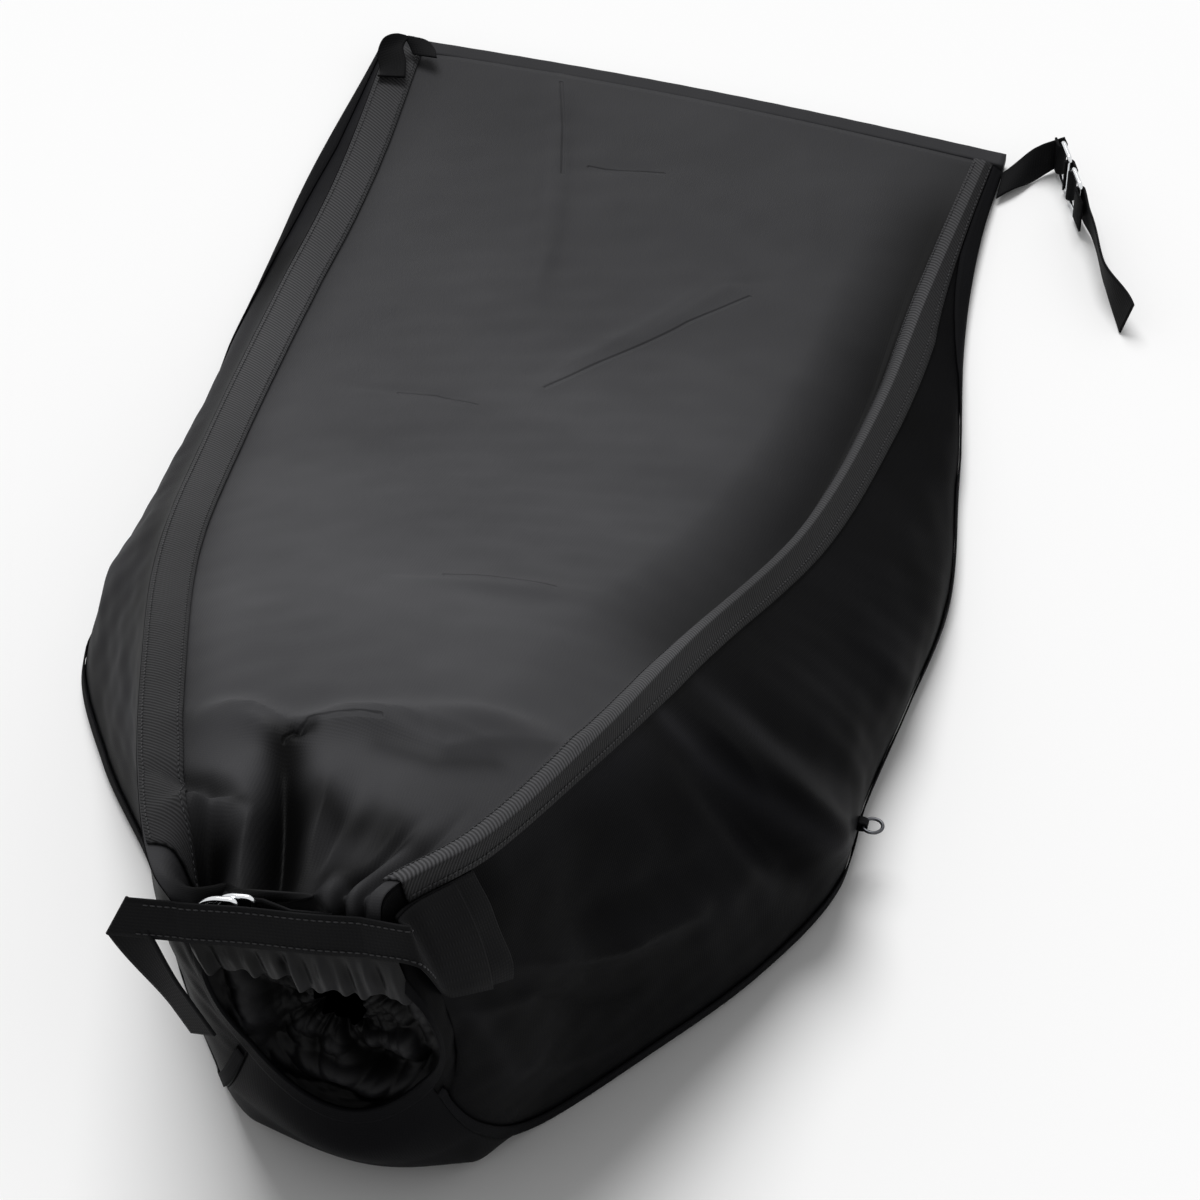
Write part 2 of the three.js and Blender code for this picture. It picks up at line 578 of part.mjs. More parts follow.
function foldedBand(a, b) {
  const across = b;
  const past = Math.cos(FOLD_SLANT) * b - Math.sin(FOLD_SLANT) * (a - foldAt);
  if (past <= 0) return onNeck(a, b, 0);
  const turn = Math.min(past / FOLD_RADIUS, Math.PI);
  const rest = past - turn * FOLD_RADIUS;
  const move = FOLD_RADIUS * Math.sin(turn) - rest - past;
  const twist = TAIL_TWIST * smoothstep(rest, 0, 0.6 * TAIL_LENGTH);
  const narrow = across * (Math.cos(twist) - 1);
  const depth = -FOLD_RADIUS * (1 - Math.cos(turn)) - TAIL_LEAN * rest + across * Math.sin(twist);
  return onNeck(
    a - Math.sin(FOLD_SLANT) * move + Math.sin(2 * FOLD_SLANT) * narrow,
    b + Math.cos(FOLD_SLANT) * move - Math.cos(2 * FOLD_SLANT) * narrow,
    depth,
  );
}

// Anchor patch on the right gusset, and the band's right end, which runs back over it.
const patchStart = rowAt(PATCH_START);
const patchEnd = rowAt(PATCH_START + PATCH_LENGTH);
const patchLift = CLOTH / 2 + GAP + WEBBING / 2;
addSheet(
  'strap_anchor_patch',
  lifted(sideGrid, [patchStart, patchEnd], [2, 4], sideFacing * patchLift),
  WEBBING,
  webbingMaterial(),
);
const bandLift = patchLift + WEBBING + 4 * GAP;
const overPatch = lifted(sideGrid, [patchStart, patchEnd - 1], [2, 4], sideFacing * bandLift);
const BAND_TURN = 19;               // past the right seam, before the band runs back
const bandRail = (column, b) => new THREE.CatmullRomCurve3([
  ...overPatch.map((row) => row[column]).reverse(),
  onNeck(neckSpan / 2 + BAND_TURN, b, 3),
  onNeck(neckSpan / 2 - 6, b, 0),
]);
const rails = [2, 1, 0].map((column) => bandRail(column, (1 - column) * WEBBING_WIDTH / 2));
const bandRows = [];
const RAIL_STEPS = 12;
for (let i = 0; i < RAIL_STEPS; i += 1) {
  bandRows.push(rails.map((rail) => rail.getPoint(i / RAIL_STEPS)));
}

// Rows of the band from the right seam to the tail's end. Near the fold they slant with it.
function bandRow(a, slant) {
  const lean = slant / Math.tan(FOLD_SLANT);
  return [-0.5, 0, 0.5].map((side) => {
    const b = side * WEBBING_WIDTH;
    return foldedBand(a + lean * b, b);
  });
}
for (let i = 0; i <= 8; i += 1) {
  const share = i / 8;
  bandRows.push(bandRow(lerp(neckSpan / 2 - 6, foldAt + 1, share), share ** 4));
}
const turnLength = (Math.PI * FOLD_RADIUS) / Math.sin(FOLD_SLANT);
for (let i = 1; i <= 6; i += 1) bandRows.push(bandRow(foldAt - (turnLength * i) / 6, 1));
for (let i = 1; i <= 6; i += 1) {
  bandRows.push(bandRow(foldAt - turnLength - (TAIL_LENGTH * i) / 6, 1 - i / 6));
}
addSheet('neck_strap', bandRows, WEBBING, webbingMaterial());

// Outline of a wire ring in a plane: a straight bar, two small corners and a bow or second bar.
// Points are [depth from the bar, height], once round.
function ringOutline(depth, height, bowed) {
  const points = [];
  const arc = (x, y, rx, ry, from, to, steps) => {
    for (let i = 0; i <= steps; i += 1) {
      const angle = lerp(from, to, i / steps);
      points.push([x + rx * Math.cos(angle), y + ry * Math.sin(angle)]);
    }
  };
  const [half, r] = [height / 2, RING_CORNER];
  arc(r, half - r, r, r, Math.PI, Math.PI / 2, 4);
  if (bowed) {
    const flat = depth - half;
    arc(flat, 0, half, half, Math.PI / 2, -Math.PI / 2, 16);
  } else {
    arc(depth - r, half - r, r, r, Math.PI / 2, 0, 4);
    arc(depth - r, r - half, r, r, 0, -Math.PI / 2, 4);
  }
  arc(r, r - half, r, r, -Math.PI / 2, -Math.PI, 4);
  return points;
}

// The two D-rings lie behind the band, one behind the other, with their bars in the tab.
const RING_SIDES = 6;
const BAR_AT = -0.35 * NECK_HALF_SPAN;  // outer ring's bar, along the band from its middle
const BAR_STEP = 8;                 // the inner ring's bar is this much further right
const tabDepth = -(WEBBING + GAP);
const outerRingDepth = tabDepth - WEBBING / 2 - GAP - RING_WIRE / 2;
const innerRingDepth = outerRingDepth - RING_WIRE - GAP;
const tabBackDepth = innerRingDepth - RING_WIRE / 2 - GAP - WEBBING / 2;
for (const [name, bar, depth] of [
  ['neck_ring_outer', BAR_AT, outerRingDepth],
  ['neck_ring_inner', BAR_AT + BAR_STEP, innerRingDepth],
]) {
  const outline = ringOutline(RING_DEPTH, RING_HEIGHT, true);
  const loop = outline.map(([x, y]) => onNeck(bar - x, y - RING_DROP, depth));
  addWire(name, loop, axisC, RING_WIRE, RING_SIDES, nickelMaterial());
}

// The tab: a strip folded round both bars, with its two legs sewn behind the band.
const tabTurn = (tabDepth - tabBackDepth) / 2;
const TAB_LENGTH = 52;
const TAB_SEWN_FROM = 30;           // from here on its two legs lie together
const tabPath = [[BAR_AT + TAB_LENGTH, tabDepth], [BAR_AT + TAB_LENGTH / 2, tabDepth]];
for (let i = 0; i <= 8; i += 1) {
  const angle = Math.PI / 2 + (Math.PI * i) / 8;
  tabPath.push([BAR_AT + tabTurn * Math.cos(angle), tabDepth - tabTurn + tabTurn * Math.sin(angle)]);
}
const tabClosed = tabDepth - WEBBING - GAP;
tabPath.push([BAR_AT + BAR_STEP + 4, tabBackDepth]);
tabPath.push([BAR_AT + TAB_SEWN_FROM, tabClosed], [BAR_AT + TAB_LENGTH, tabClosed]);
const tabRows = tabPath.map(([a, c]) => [-0.5, 0.5].map(
  (side) => onNeck(a, side * WEBBING_WIDTH - RING_DROP, c),
));
addSheet('neck_ring_tab', tabRows, WEBBING, webbingMaterial());

// Straps that stand on their edges beside the far right corner. A path is [x, y] points in
// plan, and the webbing stands upright along it.

const EDGE_HEIGHT = RING_HEIGHT / 2 + RING_WIRE / 2 + GAP;
const chainAngle = -1.15;           // direction of the chain of rings, from +X
const chain = vec(Math.cos(chainAngle), Math.sin(chainAngle), 0);
const beside = vec(-chain.y, chain.x, 0);
const corner = vec(FAR_RIGHT, FAR_Y, 0);
const CORNER_STRAP_REACH = 39;      // first ring beside the corner
const CORNER_STRAP_BACK = 12;       // and behind it
const chainStart = corner.clone().add(vec(CORNER_STRAP_REACH, CORNER_STRAP_BACK, EDGE_HEIGHT));
const onChain = (along, aside, height = 0) => chainStart.clone()
  .addScaledVector(chain, along)
  .addScaledVector(beside, aside)
  .add(vec(0, 0, height));
const wrap = RING_WIRE / 2 + GAP + WEBBING / 2;
const upright = (p, lean = 0) => [-0.5, 0.5].map((side) => p.clone()
  .add(vec(0, 0, side * WEBBING_WIDTH * Math.cos(lean)))
  .addScaledVector(beside, side * WEBBING_WIDTH * Math.sin(lean)));

// An arc round a bar at a distance along the chain, from one angle to another.
const roundBar = (along, from, to) => Array.from({ length: 7 }, (_, i) => {
  const angle = lerp(from, to, i / 6);
  return onChain(along + wrap * Math.cos(angle), wrap * Math.sin(angle));
});

const secondBar = CORNER_RING_DEPTH;
const thirdBar = secondBar + RING_WIRE + 2 * GAP + 5;
const lastBar = thirdBar + CORNER_RING_DEPTH;
for (const [name, bar] of [['corner_ring_inner', 0], ['corner_ring_outer', thirdBar]]) {
  const loop = ringOutline(CORNER_RING_DEPTH, RING_HEIGHT, false).map(([x, y]) => onChain(bar + x, 0, y));
  addWire(name, loop, beside, RING_WIRE, RING_SIDES, nickelMaterial());
}

// The strap from the corner: flat at its root, then turned on edge and folded round the first bar.
const root = corner.clone().add(vec(WEBBING / 2 - GAP, -16, WEBBING_WIDTH / 4));
const rootAcross = vec(0, 1, 0.1);
const loopIn = roundBar(0, 0.5 * Math.PI, -0.5 * Math.PI);
const cornerRows = [];
const TWIST_STEPS = 6;
const firstOfLoop = onChain(-7, wrap);
for (let i = 0; i <= TWIST_STEPS; i += 1) {
  const share = i / TWIST_STEPS;
  const across = rootAcross.clone().lerp(vec(0, 0, 1), smoothstep(share, 0, 1)).normalize();
  const centre = mix(root, firstOfLoop, share).add(vec(0, 3 * Math.sin(Math.PI * share), 0));
  cornerRows.push([-0.5, 0.5].map((side) => centre.clone().addScaledVector(across, side * WEBBING_WIDTH)));
}
cornerRows.push(...loopIn.map((p) => upright(p)));
cornerRows.push(upright(onChain(-8, -wrap)));
addSheet('corner_strap', cornerRows, WEBBING, webbingMaterial());

// The loop that joins the two rings: once round both inner bars.
const wrapPath = [
  ...roundBar(secondBar, 1.5 * Math.PI, 0.5 * Math.PI),
  ...roundBar(thirdBar, 0.5 * Math.PI, -0.5 * Math.PI),
];
const wrapRows = [-0.5, 0.5].map((side) => [...wrapPath, wrapPath[0]].map(
  (p) => p.clone().add(vec(0, 0, side * WEBBING_WIDTH)),
));
addSheet('corner_ring_wrap', wrapRows, WEBBING, webbingMaterial(), true);

// The free tail: folded round the last bar, then on edge to its tip, where it leans over.
const tailRows = [
  upright(onChain(lastBar + 16, -wrap)),
  ...roundBar(lastBar, 1.5 * Math.PI, 0.5 * Math.PI).map((p) => upright(p)),
];
const TAIL_STEPS = 9;
const TAIL_WAVE = 3;
for (let i = 1; i <= TAIL_STEPS; i += 1) {
  const share = i / TAIL_STEPS;
  const aside = wrap * (1 - share) + TAIL_WAVE * Math.sin(2.6 * Math.PI * share) * share;
  const lean = lerp(-0.16, 0.3, smoothstep(share, 0.6, 1)) * smoothstep(share, 0, 0.2);
  tailRows.push(upright(onChain(lastBar + CORNER_TAIL_LENGTH * share, aside, -4 * share), lean));
}
addSheet('corner_tail', tailRows, WEBBING, webbingMaterial());

// Crumpled loop at the far left corner: a strip that rises from the corner and turns over.

const LOOP_RISE = 13;
const LOOP_WIDTH = 33;
const LOOP_LENGTH = 44;
const leftCorner = vec(-FAR_HALF_SPAN, FAR_Y + FAR_SKEW, FAR_HEIGHT + CLOTH / 2 + 2 * GAP + 1.5 * WEBBING);

// Its path, as shares of its [width, length, rise] from the corner.
const loopPath = new THREE.CatmullRomCurve3([
  [0.48, -1, 0.46], [0.39, -0.68, 0.38], [0.24, -0.41, 0.7], [0.33, -0.18, 1],
  [0.64, -0.07, 0.8], [0.85, -0.18, 0.6], [1, -0.36, 0.46],
].map(([x, y, z]) => vec(x * LOOP_WIDTH, y * LOOP_LENGTH, z * LOOP_RISE).add(leftCorner)));
const loopRows = [];
for (let i = 0; i <= 16; i += 1) {
  const centre = loopPath.getPointAt(i / 16);
  const across = vec(1, 0.15 + 0.5 * Math.sin(4 * i / 16), 0.35 * Math.sin(7 * i / 16)).normalize();
  loopRows.push([-0.4, 0, 0.4].map((side) => centre.clone().addScaledVector(across, side * WEBBING_WIDTH)));
}
addSheet('left_corner_loop', loopRows, WEBBING, webbingMaterial());

// Side ring on its tab, at the lower right seam

const sideRow = rowAt(0.395 * topLength);
const sideColumn = sideGrid[0].length - 3;
const sidePoint = sideGrid[sideRow][sideColumn];
const sideAlong = sideGrid[sideRow + 1][sideColumn].clone().sub(sidePoint).normalize();
const sideOut = gridNormal(sideGrid, sideRow, sideColumn, false).multiplyScalar(sideFacing);
const sideUp = sideOut.clone().cross(sideAlong).normalize();
const sideTurn = SIDE_RING_WIRE / 2 + 4 * GAP + SIDE_TAB / 2;
const tabReach = CLOTH / 2 + GAP + SIDE_TAB_REACH;
const onSide = (along, out, up) => sidePoint.clone()
  .addScaledVector(sideAlong, along)
  .addScaledVector(sideOut, out)
  .addScaledVector(sideUp, up);
const sideTabPath = [[CLOTH / 2 + GAP, sideTurn]];
for (let i = 0; i <= 8; i += 1) {
  const angle = Math.PI / 2 - (Math.PI * i) / 8;
  sideTabPath.push([tabReach + sideTurn * Math.cos(angle), sideTurn * Math.sin(angle)]);
}
sideTabPath.push([CLOTH / 2 + GAP, -sideTurn]);
const sideTabRows = sideTabPath.map(([out, up]) => [-0.5, 0.5].map(
  (side) => onSide(side * SIDE_TAB_WIDTH, out, up),
));
addSheet('side_ring_tab', sideTabRows, SIDE_TAB, webbingMaterial());
const SIDE_RING_STEPS = 18;
const sideLoop = Array.from({ length: SIDE_RING_STEPS }, (_, i) => {
  const angle = (2 * Math.PI * i) / SIDE_RING_STEPS;
  return onSide(
    SIDE_RING_RADIUS * Math.sin(angle),
    tabReach + SIDE_RING_RADIUS * (1 - Math.cos(angle)),
    0,
  );
});
addWire('side_ring', sideLoop, sideUp, SIDE_RING_WIRE, RING_SIDES, steelMaterial());

export default bag;
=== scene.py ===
# %% [markdown]
# # A chipper vacuum bag
# This is the sack that collects chips and leaves behind a walk-behind chipper vacuum. It is sewn
# from black coated cloth, lies empty on its base, and its mouth is gathered under a strap with
# D-rings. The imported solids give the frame, and every length below is in millimetres until a
# mesh is made from it.

import math

import bpy
import numpy as np
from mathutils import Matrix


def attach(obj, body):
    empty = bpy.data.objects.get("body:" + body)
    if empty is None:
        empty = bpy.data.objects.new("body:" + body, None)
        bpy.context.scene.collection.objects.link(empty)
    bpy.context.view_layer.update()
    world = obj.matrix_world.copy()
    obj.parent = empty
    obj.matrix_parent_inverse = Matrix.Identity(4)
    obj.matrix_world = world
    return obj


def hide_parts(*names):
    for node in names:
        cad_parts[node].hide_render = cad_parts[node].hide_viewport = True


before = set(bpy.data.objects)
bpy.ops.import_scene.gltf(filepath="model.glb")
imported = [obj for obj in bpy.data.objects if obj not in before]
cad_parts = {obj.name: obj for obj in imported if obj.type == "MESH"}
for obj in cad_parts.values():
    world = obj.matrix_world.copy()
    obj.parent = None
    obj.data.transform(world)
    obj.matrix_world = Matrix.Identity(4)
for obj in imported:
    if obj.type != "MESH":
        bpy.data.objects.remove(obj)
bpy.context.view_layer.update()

# %% [markdown]
# ## Camera
# The photograph looks down on the bag from in front of its mouth, a little from the right. A long
# lens at a fair distance gives the same weak perspective. The distance, the point looked at and
# the scale in pixels per millimetre fix the focal length.

# %% Camera at the photograph's angle
AZIMUTH, ELEVATION = math.radians(14.0), math.radians(46.0)
LOOK_AT = np.array([66.0, 0.0, 60.0])
CAMERA_DISTANCE = 2600.0
PIXELS_PER_MM = 1.62
FRAME_PIXELS = 1200

away = np.array([
    math.sin(AZIMUTH) * math.cos(ELEVATION),
    -math.cos(AZIMUTH) * math.cos(ELEVATION),
    math.sin(ELEVATION),
])
camera_data = bpy.data.cameras.new("camera")
camera_data.sensor_width = 36.0
camera_data.lens = camera_data.sensor_width * PIXELS_PER_MM * CAMERA_DISTANCE / FRAME_PIXELS
camera = bpy.data.objects.new("camera", camera_data)
bpy.context.scene.collection.objects.link(camera)
camera.location = (LOOK_AT + CAMERA_DISTANCE * away) / 1000
camera.rotation_euler = (math.pi / 2 - ELEVATION, 0, AZIMUTH)
bpy.context.scene.camera = camera
print(f"lens {camera_data.lens:.1f} mm")

# %% [markdown]
# ## The driving sizes
# These repeat the values that the solids are built from, so each piece made here lies exactly
# where its solid lies.

# %% Sizes of the bag
NECK_Y, FAR_Y = -450, 526
NECK_HALF_SPAN, FAR_HALF_SPAN = 66, 230
FAR_TUCK, FAR_FLARE = 16, 13
FAR_RIGHT = FAR_HALF_SPAN - FAR_TUCK + FAR_FLARE
NECK_HEIGHT, FAR_HEIGHT = 296, 11
NECK_TURN_DOWN, NECK_TURN_OUT = 32, 13
NECK_LEAN, NECK_SHIFT = 16, 24
MOUTH_Y, MOUTH_RIM_HEIGHT, MOUTH_CORNER_HEIGHT = -442, 100, 142
MOUTH_LEFT, MOUTH_RIGHT = -16, 81
FAR_SKEW, FAR_BOW = 24, 7
BASE_RIGHT, BASE_LEFT, BASE_FRONT_Y = 270, -250, -388
SEAM_LIFT = 6
CLOTH = 1.5
WEBBING_WIDTH, WEBBING = 25, 1.8
BINDING_WIDTH, BINDING = 12, 1.2
HEM_WIDTH, HEM = 12, 2.6
FAR_HEM_WIDTH = 14
GAP, SEAM_INSET, EDGE_INSET = 0.3, 1.3, 0.15

# The sheets are drawn a little thinner than their solids, so that none of them shows through.
PANEL_DRAWN, TAPE_DRAWN, BINDING_DRAWN = 1.1, 1.3, 1.0
WEBBING_DRAWN, TAB_DRAWN, SKIRT_DRAWN, SLEEVE_DRAWN = 1.5, 1.4, 0.5, 0.4

# %% [markdown]
# ## Small tools for surfaces
# A sewn bag is a set of sheets whose edges are seam lines in space. Each seam is a smooth line
# through a few chosen points, and each sheet is worked out between two seams as one array of
# points. Four small tools do that: the line, an eased profile, a hill, and a crease.

# %% Seam lines
def walked(line):
    """Distance walked along a line of points, from 0 at the first of them."""
    return np.concatenate([[0], np.cumsum(np.linalg.norm(np.diff(line, axis=0), axis=1))])


def placed(data, length, places):
    """Rows of data between the points of a line, at distances walked along it."""
    return np.stack([np.interp(places, length, data[:, k]) for k in range(data.shape[1])], -1)


def seam_line(points, steps=90):
    """Centripetal Catmull-Rom line. Between two points it is a cubic whose end slopes come from
    the neighbours, each weighted by the square root of the distance to it. Returns the shares of
    the length and the points of a fine polyline."""
    points = np.array(points, float)
    padded = np.vstack([2 * points[0] - points[1], points, 2 * points[-1] - points[-2]])
    p0, p1, p2, p3 = (padded[i:len(padded) - 3 + i] for i in range(4))
    d0, d1, d2 = (
        np.sqrt(np.linalg.norm(b - a, axis=1))[:, None] for a, b in ((p0, p1), (p1, p2), (p2, p3))
    )
    m1 = d1 * ((p1 - p0) / d0 - (p2 - p0) / (d0 + d1) + (p2 - p1) / d1)
    m2 = d1 * ((p2 - p1) / d1 - (p3 - p1) / (d1 + d2) + (p3 - p2) / d2)
    t = np.linspace(0, 1, steps, endpoint=False)[None, :, None]
    p1, p2, m1, m2 = (a[:, None, :] for a in (p1, p2, m1, m2))
    line = (
        p1 + m1 * t + (3 * (p2 - p1) - 2 * m1 - m2) * t ** 2 + (2 * (p1 - p2) + m1 + m2) * t ** 3
    ).reshape(-1, 3)
    line = np.vstack([line, points[-1]])
    lengths = walked(line)
    return lengths / lengths[-1], line, lengths[-1]


def on_line(line, share):
    """Points at shares of the line's length."""
    share = np.clip(share, 0, 1)
    return np.stack([np.interp(share, line[0], line[1][:, k]) for k in range(3)], axis=-1)


def unit(vectors):
    """The vectors, each divided by its length."""
    return vectors / np.maximum(np.linalg.norm(vectors, axis=-1, keepdims=True), 1e-9)


def direction(line, share, step=0.004):
    """Unit tangent: the difference of two nearby points of the line."""
    return unit(on_line(line, share + step) - on_line(line, share - step))


# %% Profiles and creases
def smooth(x, low, high):
    """Eased step from 0 at low to 1 at high: 3t² - 2t³."""
    t = np.clip((x - low) / (high - low), 0, 1)
    return t * t * (3 - 2 * t)


def profile(pairs, x):
    """Value between [place, value] pairs, eased from each pair to the next."""
    value = np.full(np.shape(x), float(pairs[0][1]))
    for (a, low), (b, high) in zip(pairs, pairs[1:]):
        value = value + (high - low) * smooth(x, a, b)
    return value


def hill(distance, width, power=2.0):
    """exp(-|distance / width| to the power): a soft hill, or a plateau for a high power."""
    return np.exp(-np.abs(distance / width) ** power)


def crease(s, v, across, along_length, path, width, height, power=2.0, fade=0.65):
    """Ridge along a path of [s, v] places: its height fades with the distance from the path, and
    by a share of it towards the path's two ends."""
    here = np.stack(np.broadcast_arrays(s * along_length, v * across), axis=-1)
    nearest = np.full(here.shape[:-1], 1e9)
    share = np.zeros(here.shape[:-1])
    count = len(path) - 1
    for k in range(count):
        a, b = (
            np.stack(np.broadcast_arrays(path[k + e][0] * along_length, path[k + e][1] * across), -1)
            for e in (0, 1)
        )
        line = b - a
        t = np.clip(((here - a) * line).sum(-1) / (line ** 2).sum(-1), 0, 1)
        distance = np.linalg.norm(here - a - line * t[..., None], axis=-1)
        closer = distance < nearest
        nearest = np.where(closer, distance, nearest)
        share = np.where(closer, (k + t) / count, share)
    return height * hill(nearest, width, power) * (1 - fade + fade * np.sin(np.pi * share))


def drape(s, v, scale, seed):
    """Slow uneven waves, about one unit high: a sum of eight sine waves with set directions."""
    made = np.random.default_rng(seed)
    total = 0
    for _ in range(8):
        angle, phase = made.uniform(0, 2 * np.pi, 2)
        rate = made.uniform(0.6, 1.8) * 2 * np.pi / scale
        total = total + np.sin(rate * (s * np.cos(angle) + v * np.sin(angle)) + phase)
    return total / 4


# %% [markdown]
# ## Seams
# Two seams join the top panel to the side gussets, and two join the gussets to the base. At the
# neck the top seams turn down in front of the crest, because the strap pulls the edge in.

# %% The four seams
TOP_SHARES = {
    "right": [[0, 0, 0], [0.077, 0.16, 0.03], [0.107, 0.3, 0.11], [0.203, 0.48, 0.29],
              [0.436, 0.67, 0.57], [0.564, 0.8, 0.77], [0.775, 0.93, 0.93], [1, 1, 1]],
    "left": [[0, 0, 0], [0.05, 0.16, 0.03], [0.07, 0.3, 0.11], [0.16, 0.48, 0.29],
             [0.35, 0.67, 0.57], [0.58, 0.8, 0.77], [0.85, 0.93, 0.93], [1.05, 1, 1]],
}
BASE_SHARES = {
    "right": [[0.43, 0.03], [0.626, 0.105], [0.797, 0.18], [0.915, 0.26], [0.923, 0.33], [0.96, 0.43],
              [0.992, 0.53], [0.94, 0.65], [0.855, 0.81], [0.835, 0.92]],
    "left": [[0.265, 0.025], [0.418, 0.085], [0.6, 0.17], [0.822, 0.25], [0.98, 0.335], [0.945, 0.4],
             [0.948, 0.54], [0.966, 0.7], [0.976, 0.86]],
}


def mix(a, b, t):
    """Straight blend from a to b."""
    return a + (b - a) * t


def top_seam(name):
    """Line from the turned-down edge over the crest to the far corner."""
    side = -1 if name == "left" else 1
    height = NECK_HEIGHT - NECK_LEAN if side < 0 else NECK_HEIGHT
    far = FAR_Y + FAR_SKEW if side < 0 else FAR_Y
    far_span = FAR_HALF_SPAN if side < 0 else FAR_HALF_SPAN - FAR_TUCK
    points = [
        [side * mix(far_span, NECK_HALF_SPAN, a), mix(far, NECK_Y, b), mix(FAR_HEIGHT, height, c)]
        for a, b, c in TOP_SHARES[name]
    ][::-1]
    shift = NECK_SHIFT if side < 0 else 0
    crest = np.array(points[0])
    shoulder = crest + [0.5 * shift, -0.62 * NECK_TURN_OUT, -0.3 * NECK_TURN_DOWN]
    edge = crest + [shift, -NECK_TURN_OUT, -NECK_TURN_DOWN]
    return seam_line([edge, shoulder, *points])


def lower_seam(name):
    """Line from the mouth's lower corner down the front crease and round the base."""
    side = -1 if name == "left" else 1
    mouth = np.array([MOUTH_LEFT if side < 0 else MOUTH_RIGHT, MOUTH_Y, MOUTH_CORNER_HEIGHT], float)
    widest = BASE_LEFT if side < 0 else BASE_RIGHT
    base = [
        np.array([x * widest, mix(BASE_FRONT_Y, FAR_Y, y), SEAM_LIFT]) for x, y in BASE_SHARES[name]
    ]
    middle = mix(mouth, base[0], 0.5)
    middle = middle + [0, -0.25 * (BASE_FRONT_Y - MOUTH_Y), -0.06 * MOUTH_CORNER_HEIGHT]
    far = FAR_Y + FAR_SKEW if side < 0 else FAR_Y
    end = [-FAR_HALF_SPAN - FAR_FLARE / 2 if side < 0 else FAR_RIGHT, far, 0.7 * SEAM_LIFT]
    return seam_line([mouth, middle, *base, end])


top_seams = {name: top_seam(name) for name in ("left", "right")}
lower_seams = {name: lower_seam(name) for name in ("left", "right")}
LENGTH = top_seams["right"][2]
print(f"right top seam {LENGTH:.0f} mm, left {top_seams['left'][2]:.0f} mm")

# %% [markdown]
# ## From a grid of points to a sheet
# A sheet of cloth is a grid of points with a Solidify modifier for its thickness. Its UV map
# holds real millimetres across and along the cloth, so a weave drawn with it keeps its size.

# %% Making meshes
def grid_faces(rows, columns, closed=False):
    """Four-sided faces between the neighbours of a grid, wrapped round where it is closed."""
    cells = columns if closed else columns - 1
    i, j = np.meshgrid(np.arange(rows - 1), np.arange(cells), indexing="ij")
    k = (j + 1) % columns
    faces = [i * columns + j, i * columns + k, (i + 1) * columns + k, (i + 1) * columns + j]
    return np.stack(faces, -1).reshape(-1, 4)


def normals_of(points):
    """Unit normals of a grid: the cross product of its two differences."""
    return unit(np.cross(np.gradient(points, axis=1), np.gradient(points, axis=0)))


def lifted(points, distance):
    """The grid, moved along its normals."""
    return points + distance * normals_of(points)


def new_piece(name, vertices, faces, uv=None, tone_and_painted_light=1.0):
    """Object at the origin whose mesh holds the points in metres, a UV value for each point, and
    a tone for each point: painted light and shade, as a multiple of the material's colour."""
    mesh = bpy.data.meshes.new(name)
    places = (np.asarray(vertices).reshape(-1, 3) / 1000).tolist()
    mesh.from_pydata(places, [], [list(face) for face in faces])
    if uv is not None:
        corners = np.zeros(len(mesh.loops), np.int32)
        mesh.loops.foreach_get("vertex_index", corners)
        in_metres = (np.asarray(uv).reshape(-1, 2)[corners] / 1000).astype(np.float32)
        mesh.uv_layers.new(name="cloth").data.foreach_set("uv", in_metres.ravel())
    # The tone attribute holds painted light and shade, which the materials multiply their colour by.
    tones = np.broadcast_to(np.asarray(tone_and_painted_light, float).reshape(-1), len(mesh.vertices))
    mesh.attributes.new("tone_and_painted_light", "FLOAT", "POINT").data.foreach_set("value", tones.astype(np.float32))
    mesh.polygons.foreach_set("use_smooth", np.ones(len(mesh.polygons), bool))
    piece = bpy.data.objects.new(name, mesh)
    bpy.context.scene.collection.objects.link(piece)
    return piece


def lengths_along(points, axis):
    """Distance walked from the grid's first row (axis 0) or first column (axis 1)."""
    steps = np.linalg.norm(np.diff(points, axis=axis), axis=-1)
    zero = np.zeros_like(np.take(steps, [0], axis=axis))
    return np.cumsum(np.concatenate([zero, steps], axis=axis), axis=axis)


def cloth_piece(name, points, thickness, uv=None, closed=False, tone_and_painted_light=1.0):
    """Sheet from a grid of points, with its thickness shared between its two sides."""
    rows, columns = points.shape[:2]
    if uv is None:
        down = lengths_along(points, 0).mean(1, keepdims=True)
        uv = np.stack(np.broadcast_arrays(lengths_along(points, 1), down), -1)
    piece = new_piece(name, points, grid_faces(rows, columns, closed), uv, tone_and_painted_light)
    thick = piece.modifiers.new("thickness", "SOLIDIFY")
    thick.thickness = thickness / 1000
    thick.offset = 0
    thick.use_even_offset = False
    return piece


def area_of(points):
    """Area of a grid in square metres: half the cross products of each cell's diagonals."""
    a = points[1:, 1:] - points[:-1, :-1]
    b = points[1:, :-1] - points[:-1, 1:]
    return float(np.linalg.norm(np.cross(a, b), axis=-1).sum() / 2) / 1e6


pieces = {}


def keep(piece, node):
    """The piece rides on the bag's body and stands for a solid, which is hidden."""
    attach(piece, "root")
    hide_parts(node)
    pieces[piece.name] = piece
    return piece


# %% [markdown]
# ## Top panel
# The top panel is one piece of cloth from the gathered neck to the far edge. It is highest just
# behind the neck, where the gathers push it up, and hangs in a long hollow beside the right
# tape. Its shape is the straight line between the two seams, raised along the normal by a crown,
# lowered by hollows and gathers, and marked by creases where it was folded in its packet. Creases
# and gathers are given by shares along and across the panel, and by millimetres of width and rise.

